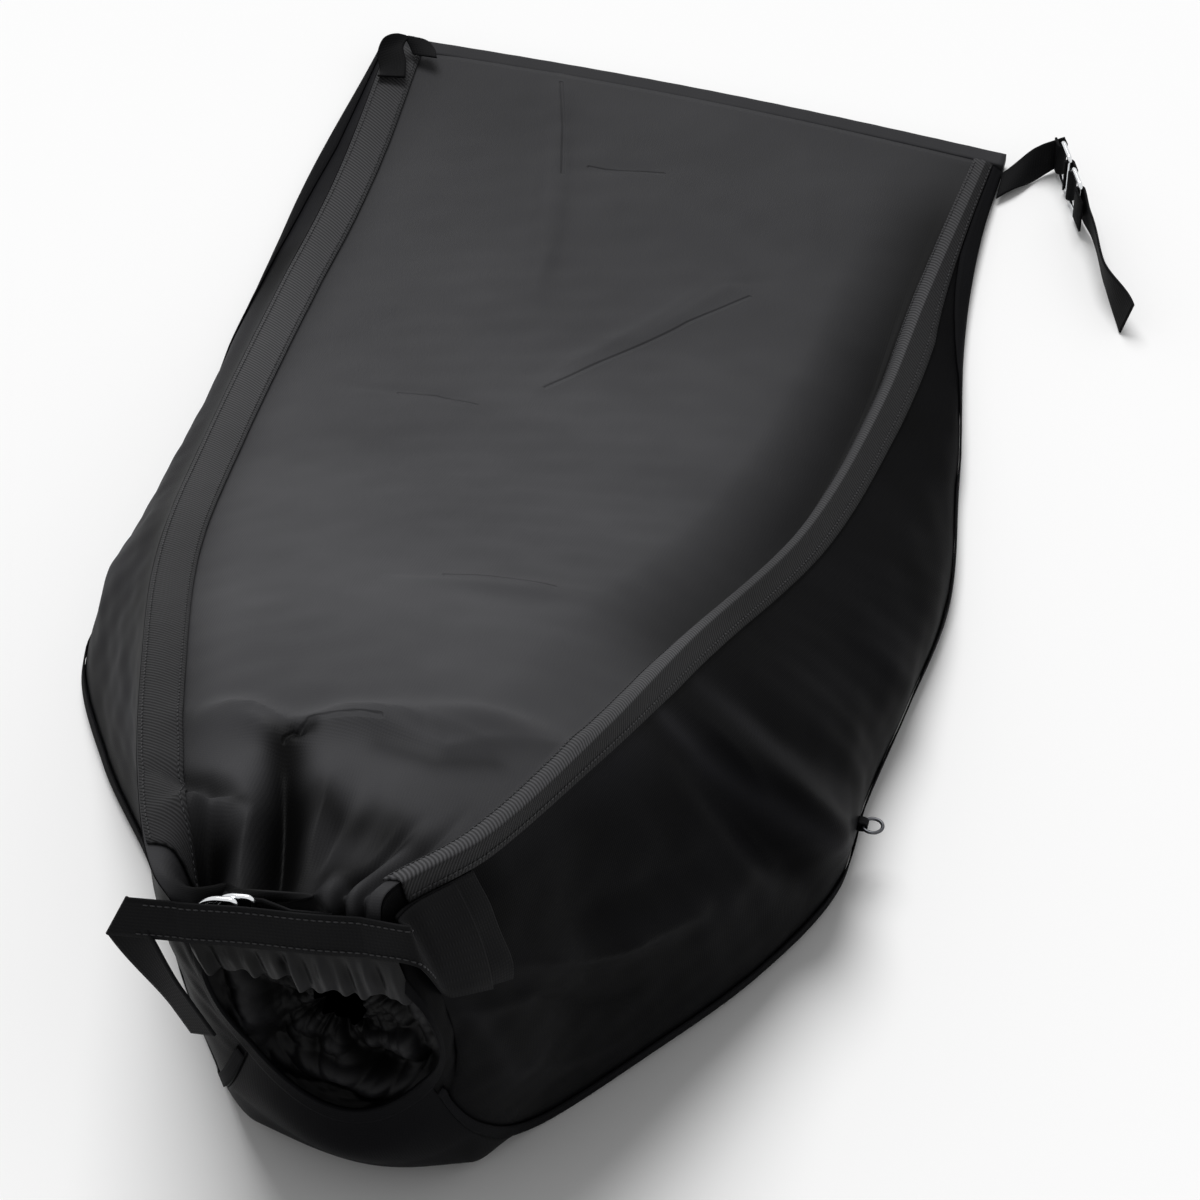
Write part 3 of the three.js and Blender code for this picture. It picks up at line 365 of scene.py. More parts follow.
# %% Shape of the top panel
CROWN = [[0, 1], [0.04, 4], [0.12, 14], [0.2, 24], [0.36, 20], [0.6, 15], [0.85, 9], [1, 1]]
RIGHT_HOLLOW = [[0, 0], [0.12, 6], [0.3, 9], [0.42, 20], [0.58, 26], [0.75, 22], [0.88, 8], [1, 0]]
LEFT_HOLLOW = [[0, 0], [0.2, 3], [0.9, 4], [1, 1]]
HOLLOW_AT, HOLLOW_WIDTH = 31, 17
HOLLOW_START, HOLLOW_DEEPEST, HOLLOW_END = 1, 13, 62
GATHERS = [
    dict(at=0.4, drift=0, width=0.36, power=8, depth=18, reach=0.11),
    dict(at=0.2, drift=0.02, width=0.05, power=2, depth=7, reach=0.14),
    dict(at=0.8, drift=0.02, width=0.035, power=2, depth=10, reach=0.12),
    dict(at=0.91, drift=-0.02, width=0.03, power=2, depth=7, reach=0.14),
]
TOP_CREASES = [
    ([[0.05, 0.47], [0.13, 0.4]], 13, -24, 2),
    ([[0.048, 0.18], [0.082, 0.25]], 12, -20, 2),
    ([[0.122, 0.07], [0.1, 0.3]], 9, -8, 2),
    ([[0.085, 0.1], [0.092, 0.28]], 10, 6, 2),
    ([[0.05, 0.7], [0.125, 0.62]], 11, -9, 2),
    ([[0.17, 0.14], [0.155, 0.38]], 15, 8, 2),
    ([[0.155, 0.43], [0.18, 0.68]], 15, 8, 2),
    ([[0.18, 0.68], [0.215, 0.93]], 14, 7, 2),
    ([[0.76, 0.41], [0.98, 0.3]], 9, 4, 2),
    ([[0.648, 0.49], [0.813, 0.69]], 9, 4, 2),
    ([[0.347, 0.5], [0.377, 0.78]], 10, 3, 2),
]
# Fold marks that are too fine for the solids. A power near 1 gives a mark a sharp top.
TOP_MARKS = [
    ([[0.05, 0.49], [0.1, 0.43], [0.14, 0.39]], 8, -12, 1.6),
    ([[0.05, 0.19], [0.08, 0.25]], 9, -10, 1.8),
    ([[0.09, 0.12], [0.094, 0.2], [0.1, 0.33]], 6, 5, 1.3),
    ([[0.06, 0.33], [0.085, 0.34], [0.1, 0.35]], 5, 6, 1.3),
    ([[0.157, 0.27], [0.146, 0.386]], 5, 5, 1.1),
    ([[0.146, 0.386], [0.157, 0.441], [0.165, 0.604], [0.163, 0.764], [0.186, 0.857]], 6, 4, 1.1),
    ([[0.15, 0.4], [0.154, 0.44]], 3, -8, 1.5),
    ([[0.055, 0.56], [0.1, 0.55], [0.125, 0.53]], 6, 5, 1.3),
    ([[0.06, 0.63], [0.11, 0.6]], 7, -6, 1.5),
    ([[0.05, 0.78], [0.1, 0.74]], 7, -5, 1.5),
    ([[1.0, 0.293], [0.901, 0.361], [0.833, 0.396], [0.761, 0.408]], 6, 1.8, 1.1),
    ([[0.901, 0.375], [0.908, 0.43], [0.915, 0.5]], 5, -1.6, 1.1),
    ([[0.64, 0.47], [0.7, 0.56], [0.813, 0.684], [0.83, 0.76]], 5, -1.8, 1.1),
    ([[0.611, 0.2], [0.615, 0.3], [0.611, 0.4]], 5, -1.5, 1.1),
    ([[0.347, 0.45], [0.36, 0.6], [0.377, 0.8]], 6, -1.4, 1.1),
    ([[0.17, 0.2], [0.165, 0.3], [0.152, 0.4]], 5, 2.6, 1.1),
    ([[0.152, 0.4], [0.168, 0.5], [0.174, 0.646], [0.181, 0.829], [0.212, 0.952]], 6, 2.6, 1.1),
    ([[0.97, 0.72], [0.9, 0.78], [0.86, 0.8]], 10, 1.5, 1.4),
    ([[0.52, 0.35], [0.5, 0.55], [0.52, 0.7]], 16, 1.0, 1.4),
]


def top_surface(s, v, marks=True):
    """Blend of the two seams at v, plus the height above it along the normal of seam and span."""
    left, right = on_line(top_seams["left"], s), on_line(top_seams["right"], s)
    along = direction(top_seams["left"], s) + direction(top_seams["right"], s)
    up = unit(np.cross(right - left, along))
    span = np.linalg.norm(right - left, axis=-1)
    height = profile(CROWN, s) * np.sin(np.pi * np.clip(v, 0, 1)) ** 0.8
    height = height - profile(LEFT_HOLLOW, s) * hill(v * span - HOLLOW_AT, HOLLOW_WIDTH)
    inwards = (1 - v) * span
    dip = smooth(inwards, HOLLOW_START, HOLLOW_DEEPEST) - smooth(inwards, HOLLOW_DEEPEST, HOLLOW_END)
    height = height - profile(RIGHT_HOLLOW, s) * dip
    for g in GATHERS:
        share = s / g["reach"]
        width = g["width"] * (1 - 0.5 * np.minimum(share, 1))
        fade = 1 - smooth(share, 0.4, 1)
        aside = v - g["at"] - g["drift"] * share
        height = height - g["depth"] * fade * hill(aside, width, g["power"])
    for path, width, rise, power in TOP_CREASES + (TOP_MARKS if marks else []):
        height = height + crease(s, v, span, LENGTH, path, width, rise, power)
    if marks:
        inside = np.sin(np.pi * np.clip(v, 0, 1)) ** 0.5 * smooth(s, 0, 0.1) * (1 - smooth(s, 0.96, 1))
        waves = 0.9 * drape(s * LENGTH, v * span, 150, 3) + 0.35 * drape(s * LENGTH, v * span, 48, 4)
        height = height + inside * waves
    bow = FAR_BOW * smooth(s, 0.75, 1) * np.sin(np.pi * np.clip(v, 0, 1))
    point = mix(left, right, v[..., None]) + up * height[..., None]
    point[..., 1] += bow
    return point


def span_at(lines, s):
    """Distance between two seams at a share of their length."""
    return np.linalg.norm(on_line(lines[1], s) - on_line(lines[0], s), axis=-1)


def share_grid(rows, columns, first=0.0, last=1.0, ease=1.35):
    """Shares along (closer together at the neck) and across, as two arrays."""
    s = mix(first, last, np.linspace(0, 1, rows) ** ease)
    return np.broadcast_arrays(s[:, None], np.linspace(0, 1, columns)[None, :])


def panel_grid(seams, rows, columns, ease=1.35):
    """Shares along and across of a panel's own grid, from behind the hem to the far edge and just
    inside its seams, and the panel's width in mm at each of them."""
    s, v = share_grid(rows, columns, first=0.9 * HEM_WIDTH / LENGTH, ease=ease)
    width = span_at(seams, s)
    edge = np.minimum(EDGE_INSET / width, 0.2)
    return s, mix(edge, 1 - edge, v), width


# %% [markdown]
# ## Painted light and shade on the top panel
# The cloth's colour is painted paler where the panel faces the window, and painted shade takes it
# into black in the gathers and in the hollow beside the right tape, more than its slope alone gives.
# Each point of a sheet carries a tone, a multiple of the material's colour, which the material reads.

# %% Painted light and shade of the top panel
# Painted shade along paths of [share along, share across], with a width in mm, a power and how much is
# darkened.
PAINTED_PIT_SHADE = [
    ([[0.02, 0.15], [0.045, 0.2], [0.078, 0.25]], 15, 3, 0.95),
    ([[0.04, 0.5], [0.08, 0.46], [0.115, 0.43], [0.143, 0.39]], 13, 3, 0.95),
    ([[0.03, 0.33], [0.05, 0.4]], 14, 2, 0.8),
    ([[0.1, 0.3], [0.118, 0.2], [0.122, 0.06]], 7, 2, 0.7),
    ([[0.03, 0.62], [0.06, 0.7], [0.1, 0.66]], 12, 2, 0.6),
    ([[0.05, 0.8], [0.1, 0.76]], 8, 2, 0.55),
    ([[0.02, 0.5], [0.02, 0.95]], 14, 2, 0.5),
    ([[0.15, 0.4], [0.154, 0.45]], 4, 2, 0.8),
    ([[0.152, 0.62], [0.15, 0.76], [0.17, 0.87]], 7, 1.6, 0.4),
    ([[0.05, 0.47], [0.08, 0.465], [0.105, 0.455]], 22, 3, 0.85),
    ([[0.1, 0.57], [0.095, 0.7], [0.088, 0.84]], 13, 2, 0.65),
    ([[0.06, 0.6], [0.055, 0.76]], 12, 2, 0.55),
]
# Painted shade beside the right tape and along the left edge.
SHADE_REACH, SHADE_POWER, SHADE_MOST = 34, 1.3, 0.93
LEFT_SHADE_WIDTH, DARKEST = 16, 0.03
RIGHT_SHADE = [[0, 0], [0.1, 0.35], [0.2, 0.2], [0.3, 0.35], [0.4, 0.9], [0.92, 1], [0.99, 0.5], [1, 0.3]]
LEFT_SHADE = [[0, 0.6], [0.15, 0.5], [0.3, 0.35], [0.6, 0.15], [1, 0.1]]
# Painted light along the panel, palest a third of the way from the neck.
ALONG_PAINTED_LIGHT = [[0, 0.85], [0.18, 1.0], [0.3, 1.12], [0.55, 1.0], [0.8, 0.84], [1, 0.76]]


def stripe(s, v, across, path, width, power):
    """Hill round a path of [s, v] places, 1 on the path itself."""
    return crease(s, v, across, LENGTH, path, width, 1.0, power, fade=0.0)


def top_painted_light_and_shade(s, v, span):
    """Painted light along the panel, times the painted shade of the gathers, the hollow and the left edge."""
    tone_and_painted_light = profile(ALONG_PAINTED_LIGHT, s)
    for path, width, power, depth in PAINTED_PIT_SHADE:
        tone_and_painted_light = tone_and_painted_light * (1 - depth * stripe(s, v, span, path, width, power))
    inwards = (1 - v) * span - HOLLOW_DEEPEST
    shade = hill(np.maximum(inwards, 0), SHADE_REACH, SHADE_POWER)
    tone_and_painted_light = tone_and_painted_light * (1 - SHADE_MOST * profile(RIGHT_SHADE, s) * shade)
    tone_and_painted_light = tone_and_painted_light * (1 - profile(LEFT_SHADE, s) * hill(v * span - WEBBING_WIDTH, LEFT_SHADE_WIDTH))
    return np.maximum(tone_and_painted_light, DARKEST)


# %% Make the top panel
s, v, top_span = panel_grid((top_seams["left"], top_seams["right"]), 300, 130)
top_points = top_surface(s, v)
top_uv = np.stack([(v - 0.5) * top_span, s * LENGTH], -1)
# The tone of the top panel carries its painted light and shade.
top_panel = cloth_piece("top_cloth_panel", top_points, PANEL_DRAWN, top_uv, tone_and_painted_light=top_painted_light_and_shade(s, v, top_span))
keep(top_panel, "top_panel")
print(f"top panel {area_of(top_points):.3f} m2, {top_span[0, 0]:.0f} to {top_span[-1, 0]:.0f} mm wide")

# %% [markdown]
# ## Side gussets
# A gusset is a long wedge of cloth, tall at the neck and narrow at the far end. It bulges
# outwards, and on the right a fold runs down from the seam, where the empty side has buckled.

# %% Shape of the gussets
BULGE = {
    "right": [[0, 22], [0.15, 30], [0.32, 40], [0.5, 34], [0.7, 18], [0.88, 7], [1, 1]],
    "left": [[0, 6], [0.1, 5], [0.32, 8], [0.5, 14], [0.7, 9], [0.88, 6], [1, 1]],
}
BULGE_START, WAVES_FROM = 36, 60
SIDE_CREASES = {
    "right": [
        ([[0.325, 0.06], [0.38, 0.75]], 17, 15, 2),
        ([[0.285, 0.12], [0.345, 0.78]], 15, -12, 2),
        ([[0.09, 0.3], [0.25, 0.5]], 12, 6, 2),
    ],
    "left": [],
}
SIDE_MARKS = {
    "right": [
        ([[0.322, 0.05], [0.328, 0.2], [0.328, 0.37], [0.347, 0.546], [0.377, 0.732]], 8, 5, 1.2),
        ([[0.36, 0.05], [0.37, 0.3], [0.4, 0.6]], 14, -4, 1.6),
        ([[0.093, 0.318], [0.17, 0.41], [0.248, 0.499]], 7, 3.4, 1.2),
        ([[0.048, 0.435], [0.1, 0.44], [0.152, 0.461]], 6, 3, 1.2),
        ([[0.07, 0.36], [0.13, 0.5], [0.2, 0.62]], 7, -3, 1.3),
        ([[0.1, 0.26], [0.2, 0.33], [0.3, 0.42]], 12, -3, 1.6),
        ([[0.05, 0.55], [0.12, 0.7], [0.2, 0.8]], 12, 2.5, 1.5),
        ([[0.45, 0.1], [0.5, 0.4], [0.52, 0.8]], 18, 2.5, 1.6),
    ],
    "left": [
        ([[0.2, 0.3], [0.24, 0.5], [0.3, 0.8]], 12, 3, 1.4),
        ([[0.12, 0.2], [0.1, 0.5], [0.12, 0.8]], 10, -3, 1.4),
        ([[0.4, 0.2], [0.46, 0.5], [0.55, 0.7]], 16, 2.5, 1.5),
    ],
}


def gusset_surface(name, s, v, marks=True):
    """Blend of the top and lower seams at v, pushed outwards by a half-sine bulge and creases."""
    side = -1 if name == "left" else 1
    top, low = on_line(top_seams[name], s), on_line(lower_seams[name], s)
    along = direction(top_seams[name], s) + direction(lower_seams[name], s)
    outward = unit(np.stack([side * along[..., 1], -side * along[..., 0], 0 * along[..., 0]], -1))
    width = np.linalg.norm(top - low, axis=-1)
    arch = np.sin(np.pi * np.clip(v, 0, 1)) * smooth(v * width, 0, BULGE_START)
    bulge = profile(BULGE[name], s) * arch
    for path, w, rise, power in SIDE_CREASES[name] + (SIDE_MARKS[name] if marks else []):
        bulge = bulge + crease(s, v, width, LENGTH, path, w, rise, power) * arch
    if marks:
        waves = 1.3 * drape(s * LENGTH, v * width, 130, 11) + 0.5 * drape(s * LENGTH, v * width, 42, 12)
        bulge = bulge + arch * np.minimum(1, width / WAVES_FROM) * waves
    return mix(top, low, v[..., None]) + outward * bulge[..., None]


# %% [markdown]
# ## Painted light and shade on the gussets
# The sides turn away from the window, and their colour is painted darker still, nearly black.
# Folds that stand up get painted highlights, several times as pale as the flat cloth.

# %% Painted highlights and shade of the gussets
PAINTED_FOLD_HIGHLIGHTS = {
    "right": [
        ([[0.298, 0.04], [0.303, 0.2], [0.327, 0.38], [0.36, 0.62], [0.4, 0.85]], 9, 1.6, 3.2),
        ([[0.35, 0.1], [0.36, 0.3], [0.39, 0.6]], 10, 1.6, 1.6),
        ([[0.09, 0.3], [0.17, 0.4], [0.25, 0.5], [0.3, 0.6]], 16, 1.6, 1.1),
        ([[0.26, 0.04], [0.2, 0.05], [0.12, 0.08]], 18, 1.6, 2.2),
        ([[0.2, 0.3], [0.28, 0.4]], 26, 1.6, 1.0),
        ([[0.03, 0.3], [0.06, 0.45], [0.09, 0.7]], 10, 1.6, 1.4),
        ([[0.43, 0.3], [0.52, 0.5]], 24, 1.6, 0.6),
    ],
    "left": [
        ([[0.1, 0.5], [0.4, 0.5], [0.7, 0.5]], 40, 2, 3.0),
        ([[0.2, 0.3], [0.24, 0.5], [0.3, 0.8]], 12, 2, 2.0),
        ([[0.4, 0.2], [0.46, 0.5], [0.55, 0.7]], 14, 2, 2.0),
        ([[0.8, 0.5], [0.98, 0.5]], 20, 2, 2.5),
    ],
}
# Painted shade for each side; the left side, nearer the window, is painted less dark.
GUSSET_PAINTED_LIGHT = {"right": 0.5, "left": 0.62}
DARKEST_SIDE = 0.3


def gusset_painted_light(name, s, v, width):
    """About 1 where the cloth is plain, plus each painted fold highlight, times the side's painted light
    level.
    """
    tone_and_painted_light = 1 + 0.25 * drape(s * LENGTH, v * width, 90, 21)
    for path, reach, power, rise in PAINTED_FOLD_HIGHLIGHTS[name]:
        tone_and_painted_light = tone_and_painted_light + rise * stripe(s, v, width, path, reach, power)
    return np.maximum(tone_and_painted_light, DARKEST_SIDE) * GUSSET_PAINTED_LIGHT[name]


# %% Make the gussets
gusset_points = {}
for name in ("left", "right"):
    s, v, width = panel_grid((top_seams[name], lower_seams[name]), 280, 80)
    points = gusset_surface(name, s, v)
    gusset_points[name] = points
    # The gusset's tone carries its painted highlights and shade.
    uv, tone_and_painted_light = np.stack([v * width, s * LENGTH], -1), gusset_painted_light(name, s, v, width)
    piece = cloth_piece(f"{name}_gusset_cloth", points, PANEL_DRAWN, uv, tone_and_painted_light=tone_and_painted_light)
    keep(piece, f"{name}_gusset")
    print(f"{name} gusset {area_of(points):.3f} m2, {width[0, 0]:.0f} to {width[-1, 0]:.0f} mm wide")

# %% [markdown]
# ## Base
# The base lies flat on the floor and curls up into the chin under the mouth. The chin follows
# its own middle line, and the rest is the blend of the two lower seams, pressed flat.

# %% Base
CHIN_END, FLAT_SHARE = 0.135, 0.8
BASE_LEVEL = CLOTH / 2
mouth_middle = (MOUTH_LEFT + MOUTH_RIGHT) / 2
chin_line = seam_line([
    [mouth_middle, MOUTH_Y, MOUTH_RIM_HEIGHT],
    [mouth_middle, MOUTH_Y, 0.62 * MOUTH_RIM_HEIGHT],
    [mouth_middle + 4, mix(MOUTH_Y, BASE_FRONT_Y, 0.33), 0.3 * MOUTH_RIM_HEIGHT],
    [mouth_middle + 3, mix(MOUTH_Y, BASE_FRONT_Y, 0.66), 0.06 * MOUTH_RIM_HEIGHT],
    [mouth_middle + 3, mix(MOUTH_Y, BASE_FRONT_Y, 0.88), BASE_LEVEL],
    [mouth_middle, BASE_FRONT_Y, BASE_LEVEL],
])


def base_surface(s, v):
    """Blend of the lower seams, flat in its middle; the chin adds its own line's offset, times a
    parabola across."""
    left, right = on_line(lower_seams["left"], s), on_line(lower_seams["right"], s)
    chord = mix(left, right, v[..., None])
    chord[..., 1] += FAR_BOW * smooth(s, 0.75, 1) * np.sin(np.pi * np.clip(v, 0, 1))
    rise = np.clip((np.abs(2 * v - 1) - FLAT_SHARE) / (1 - FLAT_SHARE), 0, 1) ** 2
    flat = chord.copy()
    flat[..., 2] = mix(BASE_LEVEL, chord[..., 2], rise)
    share = np.minimum(s / CHIN_END, 1)
    sag = on_line(chin_line, share) - mix(left, right, 0.5)
    chin = chord + sag * (4 * v * (1 - v))[..., None]
    blend = smooth(share, 0.55, 1)[..., None]
    return mix(chin, flat, blend)


s, v, base_span = panel_grid((lower_seams["left"], lower_seams["right"]), 260, 110, ease=1.8)
base_points = base_surface(s, v)
base_uv = np.stack([(v - 0.5) * base_span, s * LENGTH], -1)
base_panel = cloth_piece("base_cloth_panel", base_points, PANEL_DRAWN, base_uv)
keep(base_panel, "bottom_panel")
print(f"base {area_of(base_points):.3f} m2, {base_span[0, 0]:.0f} to {base_span[-1, 0]:.0f} mm wide")

# %% [markdown]
# ## Hem of the mouth
# The mouth's edge is turned in twice and stitched, so it is a band about 12 mm deep and a few
# layers thick. It runs through all four panels, so its grid takes their edges in turn.

# %% Hem
def mouth_row(depth):
    """Points once round the mouth at a depth behind its edge."""
    s = np.array([depth / LENGTH])
    sweep = {
        "top": np.linspace(0.006, 0.994, 90), "side": np.linspace(0.02, 0.98, 44),
        "base": np.linspace(0.98, 0.02, 60), "back": np.linspace(0.98, 0.02, 44),
    }
    return np.concatenate([
        top_surface(s + 0 * sweep["top"], sweep["top"], False),
        gusset_surface("right", s + 0 * sweep["side"], sweep["side"], False),
        base_surface(s + 0 * sweep["base"], sweep["base"]),
        gusset_surface("left", s + 0 * sweep["back"], sweep["back"], False),
    ])


hem_points = np.stack([mouth_row(depth) for depth in np.linspace(0, HEM_WIDTH, 7)])
keep(cloth_piece("mouth_hem_band", hem_points, HEM, closed=True), "mouth_hem")
print(f"mouth {walked(hem_points[0])[-1]:.0f} mm round")

# %% [markdown]
# ## Far edge
# The wide end is closed by a bound edge: the cloth folded over both panels into a flat bar. It
# is a rounded section carried along the slightly bowed edge.

# %% Far edge binding
def rounded_section(width, height, count=32):
    """Closed outline of a rounded rectangle, as [across, up] points: a superellipse of power 5."""
    angle = np.linspace(0, 2 * np.pi, count, endpoint=False)
    circle = np.stack([np.cos(angle), np.sin(angle)], -1)
    return np.array([width, height]) / 2 * np.sign(circle) * np.abs(circle) ** (2 / 5)


far_bottom, far_top = 0.7 * SEAM_LIFT - CLOTH / 2, FAR_HEIGHT + CLOTH / 2
along = np.linspace(0, 1, 120)
middle_line = np.stack([
    mix(-FAR_HALF_SPAN, FAR_RIGHT, along),
    mix(FAR_Y + FAR_SKEW, FAR_Y, along) + GAP + FAR_HEM_WIDTH / 2 + FAR_BOW * np.sin(np.pi * along),
    (far_bottom + far_top) / 2 + 0 * along,
], -1)
section = rounded_section(FAR_HEM_WIDTH, far_top - far_bottom)
swell = 1 - 0.06 * np.abs(np.sin(along * 60))
bar = np.stack([
    middle_line[:, None, 0] + 0 * section[None, :, 0],
    middle_line[:, None, 1] + section[None, :, 0],
    middle_line[:, None, 2] + section[None, :, 1] * swell[:, None],
], -1)


def capped_tube(name, rings, uv=None):
    """Closed body from rings of points: the side faces and a fan on each end."""
    rows, columns = rings.shape[:2]
    points = np.concatenate([rings.reshape(-1, 3), [rings[0].mean(0), rings[-1].mean(0)]])
    j = np.arange(columns)
    k = (j + 1) % columns
    first, last = rows * columns, rows * columns + 1
    sides = grid_faces(rows, columns, closed=True).tolist()
    last_ring = (rows - 1) * columns
    start = np.stack([k, j, np.full(columns, first)], -1).tolist()
    end = np.stack([last_ring + j, last_ring + k, np.full(columns, last)], -1).tolist()
    if uv is not None:
        uv = np.concatenate([uv.reshape(-1, 2), [uv[0].mean(0), uv[-1].mean(0)]])
    piece = new_piece(name, points, sides + start + end, uv)
    return outside_out(piece)


def outside_out(piece):
    """Turns the faces round if the body's signed volume is below zero."""
    mesh = piece.data
    mesh.calc_loop_triangles()
    co = np.zeros(len(mesh.vertices) * 3)
    mesh.vertices.foreach_get("co", co)
    tri = np.zeros(len(mesh.loop_triangles) * 3, np.int32)
    mesh.loop_triangles.foreach_get("vertices", tri)
    a, b, c = (co.reshape(-1, 3)[tri.reshape(-1, 3)[:, k]] for k in range(3))
    if np.einsum("ij,ij->i", a, np.cross(b, c)).sum() < 0:
        mesh.flip_normals()
    return piece


far_length = FAR_HALF_SPAN + FAR_RIGHT
section_length = np.linspace(0, 2 * (FAR_HEM_WIDTH + far_top - far_bottom), section.shape[0])
bar_uv = np.stack(np.broadcast_arrays(section_length[None, :], (along * far_length)[:, None]), -1)
far_edge = keep(capped_tube("far_edge_binding", bar, bar_uv), "far_end_binding")
print(f"far edge {far_length} mm long, {far_top - far_bottom:.1f} mm thick")

# %% [markdown]
# ## Left seam tape
# Each top seam is covered with ribbed tape, and each lower seam with a narrow binding. The left
# tape lies flat on the top panel beside its seam. It is a strip of the panel's own surface,
# lifted by the cloth and half of its own thickness, and slightly crowned.

# %% Left tape
# The tape's colour carries painted shade where it leans into the neck, and painted light past the middle of
# the bag.
LEFT_TAPE_PAINTED_LIGHT = [[0, 0.35], [0.2, 0.45], [0.35, 0.6], [0.5, 0.8], [0.65, 1], [0.8, 0.85], [1, 0.7]]
TAPE_START, TAPE_LIFT, TAPE_CROWN = 62, CLOTH / 2 + GAP + WEBBING / 2, 0.5
ROWS, PANEL_START = 34, (HEM_WIDTH + 1.5) / LENGTH
solid_rows = mix(PANEL_START, 1, np.linspace(0, 1, ROWS + 1) ** 1.6)


def row_number(distance):
    """Number of the first of the solids' rows at least this far behind the mouth's edge."""
    return int(np.argmax(solid_rows * LENGTH >= distance))


def row_share(distance):
    """Share of that row along the seam."""
    return solid_rows[row_number(distance)]


top_spans = lambda s: span_at((top_seams["left"], top_seams["right"]), s)
side_spans = lambda s: span_at((top_seams["right"], lower_seams["right"]), s)
tape_s, tape_share = np.meshgrid(
    np.linspace(row_share(TAPE_START), 1, 260), np.linspace(0, 1, 9), indexing="ij",
)
from_seam = SEAM_INSET + WEBBING_WIDTH * tape_share
flat_tape = top_surface(tape_s, from_seam / top_spans(tape_s))
crown = TAPE_CROWN * (1 - (2 * tape_share - 1) ** 2)
left_tape_points = flat_tape + normals_of(flat_tape) * (TAPE_LIFT + crown)[..., None]
tape_uv = np.stack([from_seam, tape_s * LENGTH], -1)
left_tape = cloth_piece(
    "left_ribbed_tape", left_tape_points, TAPE_DRAWN, tape_uv, tone_and_painted_light=profile(LEFT_TAPE_PAINTED_LIGHT, tape_s),
)
keep(left_tape, "left_seam_tape")
print(f"left tape {left_tape_points[..., 2].max():.0f} mm high at its crest")

# %% [markdown]
# ## Right seam tape
# The right tape is folded over its seam like a roof: 8 mm of it lie on the top panel, it turns
# over the ridge, and the rest lies on the gusset. Its columns run across in that order. The half
# on the gusset faces away from the light, and its colour is painted darker for that shade.

# %% Right tape, folded over its seam
TAPE_MIDDLE, RIGHT_TAPE_EDGE, RIGHT_TAPE_START = SEAM_INSET + WEBBING_WIDTH / 2, 8, 36
# Painted light and shade along the tape, and painted shade on its half on the gusset.
RIGHT_TAPE_PAINTED_LIGHT = [[0, 1.1], [0.2, 0.95], [0.35, 1.2], [0.45, 0.75], [0.6, 0.9], [0.8, 1], [1, 0.75]]
GUSSET_HALF_PAINTED_SHADE = 0.3
TAPE_SHARE, BINDING_SHARE = 0.35, 0.6
s = np.linspace(row_share(RIGHT_TAPE_START), 1, 300)[:, None]
on_top = np.linspace(RIGHT_TAPE_EDGE, SEAM_INSET, 7)[None, :] + 0 * s
top_half = top_surface(s + 0 * on_top, 1 - on_top / top_spans(s))
side_width = side_spans(s)
tape_reach = np.minimum(TAPE_MIDDLE, TAPE_SHARE * side_width)
on_side_half = mix(SEAM_INSET, tape_reach, np.linspace(0, 1, 7)[None, :])
side_half = gusset_surface("right", s + 0 * on_side_half, on_side_half / side_width)
top_up, side_up_there = normals_of(top_half), normals_of(side_half)
ridge_line = on_line(top_seams["right"], s[:, 0])
ridge = np.stack([
    ridge_line + TAPE_LIFT * unit(mix(top_up[:, -1], side_up_there[:, 0], t)) for t in (0.2, 0.5, 0.8)
], 1)
right_tape_points = np.concatenate([
    top_half + TAPE_LIFT * top_up, ridge, side_half + TAPE_LIFT * side_up_there,
], 1)
lit_columns = 9
# Painted shade on the columns of the half on the gusset.
half_painted_shade = np.where(np.arange(right_tape_points.shape[1]) < lit_columns, 1, GUSSET_HALF_PAINTED_SHADE)
right_tape = cloth_piece(
    "right_ribbed_tape", right_tape_points, TAPE_DRAWN, tone_and_painted_light=profile(RIGHT_TAPE_PAINTED_LIGHT, s) * half_painted_shade,
)
keep(right_tape, "right_seam_tape")
print(f"right tape {right_tape_points[..., 2].max():.0f} mm high at its crest")

# %% [markdown]
# ## Lower bindings
# A narrow binding covers each lower seam on the gusset's side. It is sewn like the tapes, and
# where the gusset is low it takes at most six tenths of it.

# %% Bindings on the lower seams
BINDING_START = 20
for name, sign in (("left", -1), ("right", 1)):
    spans = lambda s: span_at((top_seams[name], lower_seams[name]), s)

    def from_below(s, v):
        """The gusset with its shares counted up from the lower seam."""
        return gusset_surface(name, s, 1 - v)

    s = np.broadcast_to(np.linspace(BINDING_START / LENGTH, 1, 240)[:, None], (240, 5))
    width = spans(s)
    reach = np.minimum(SEAM_INSET + BINDING_WIDTH, BINDING_SHARE * width)
    distance = mix(SEAM_INSET, reach, np.linspace(0, 1, 5)[None, :])
    points = from_below(s, distance / width)
    raised = lifted(points, -sign * (CLOTH / 2 + GAP + BINDING / 2))
    uv = np.stack([distance, s * LENGTH], -1)
    strip = cloth_piece(f"{name}_base_binding", raised, BINDING_DRAWN, uv)
    keep(strip, f"lower_{name}_binding")
    print(f"{name} binding {LENGTH:.0f} mm long")

# %% [markdown]
# ## Neck strap
# A strap of webbing closes the mouth. Its right end is sewn over a patch on the gusset, it runs
# across the gathers, and past the left seam it folds back on a slanting line, so its tail hangs
# down outside the bag. The strap is one flat band: each of its points is given by the distance
# along it and across it, and the fold bends that flat band round a thin cylinder.

# %% The neck's own frame
def normal_at(surface, s, v, step=0.002):
    """Unit normal of a surface at given shares: the cross product of two small steps."""
    across = surface(s, v + step) - surface(s, v - step)
    along = surface(s + step, v) - surface(s - step, v)
    return unit(np.cross(across, along))


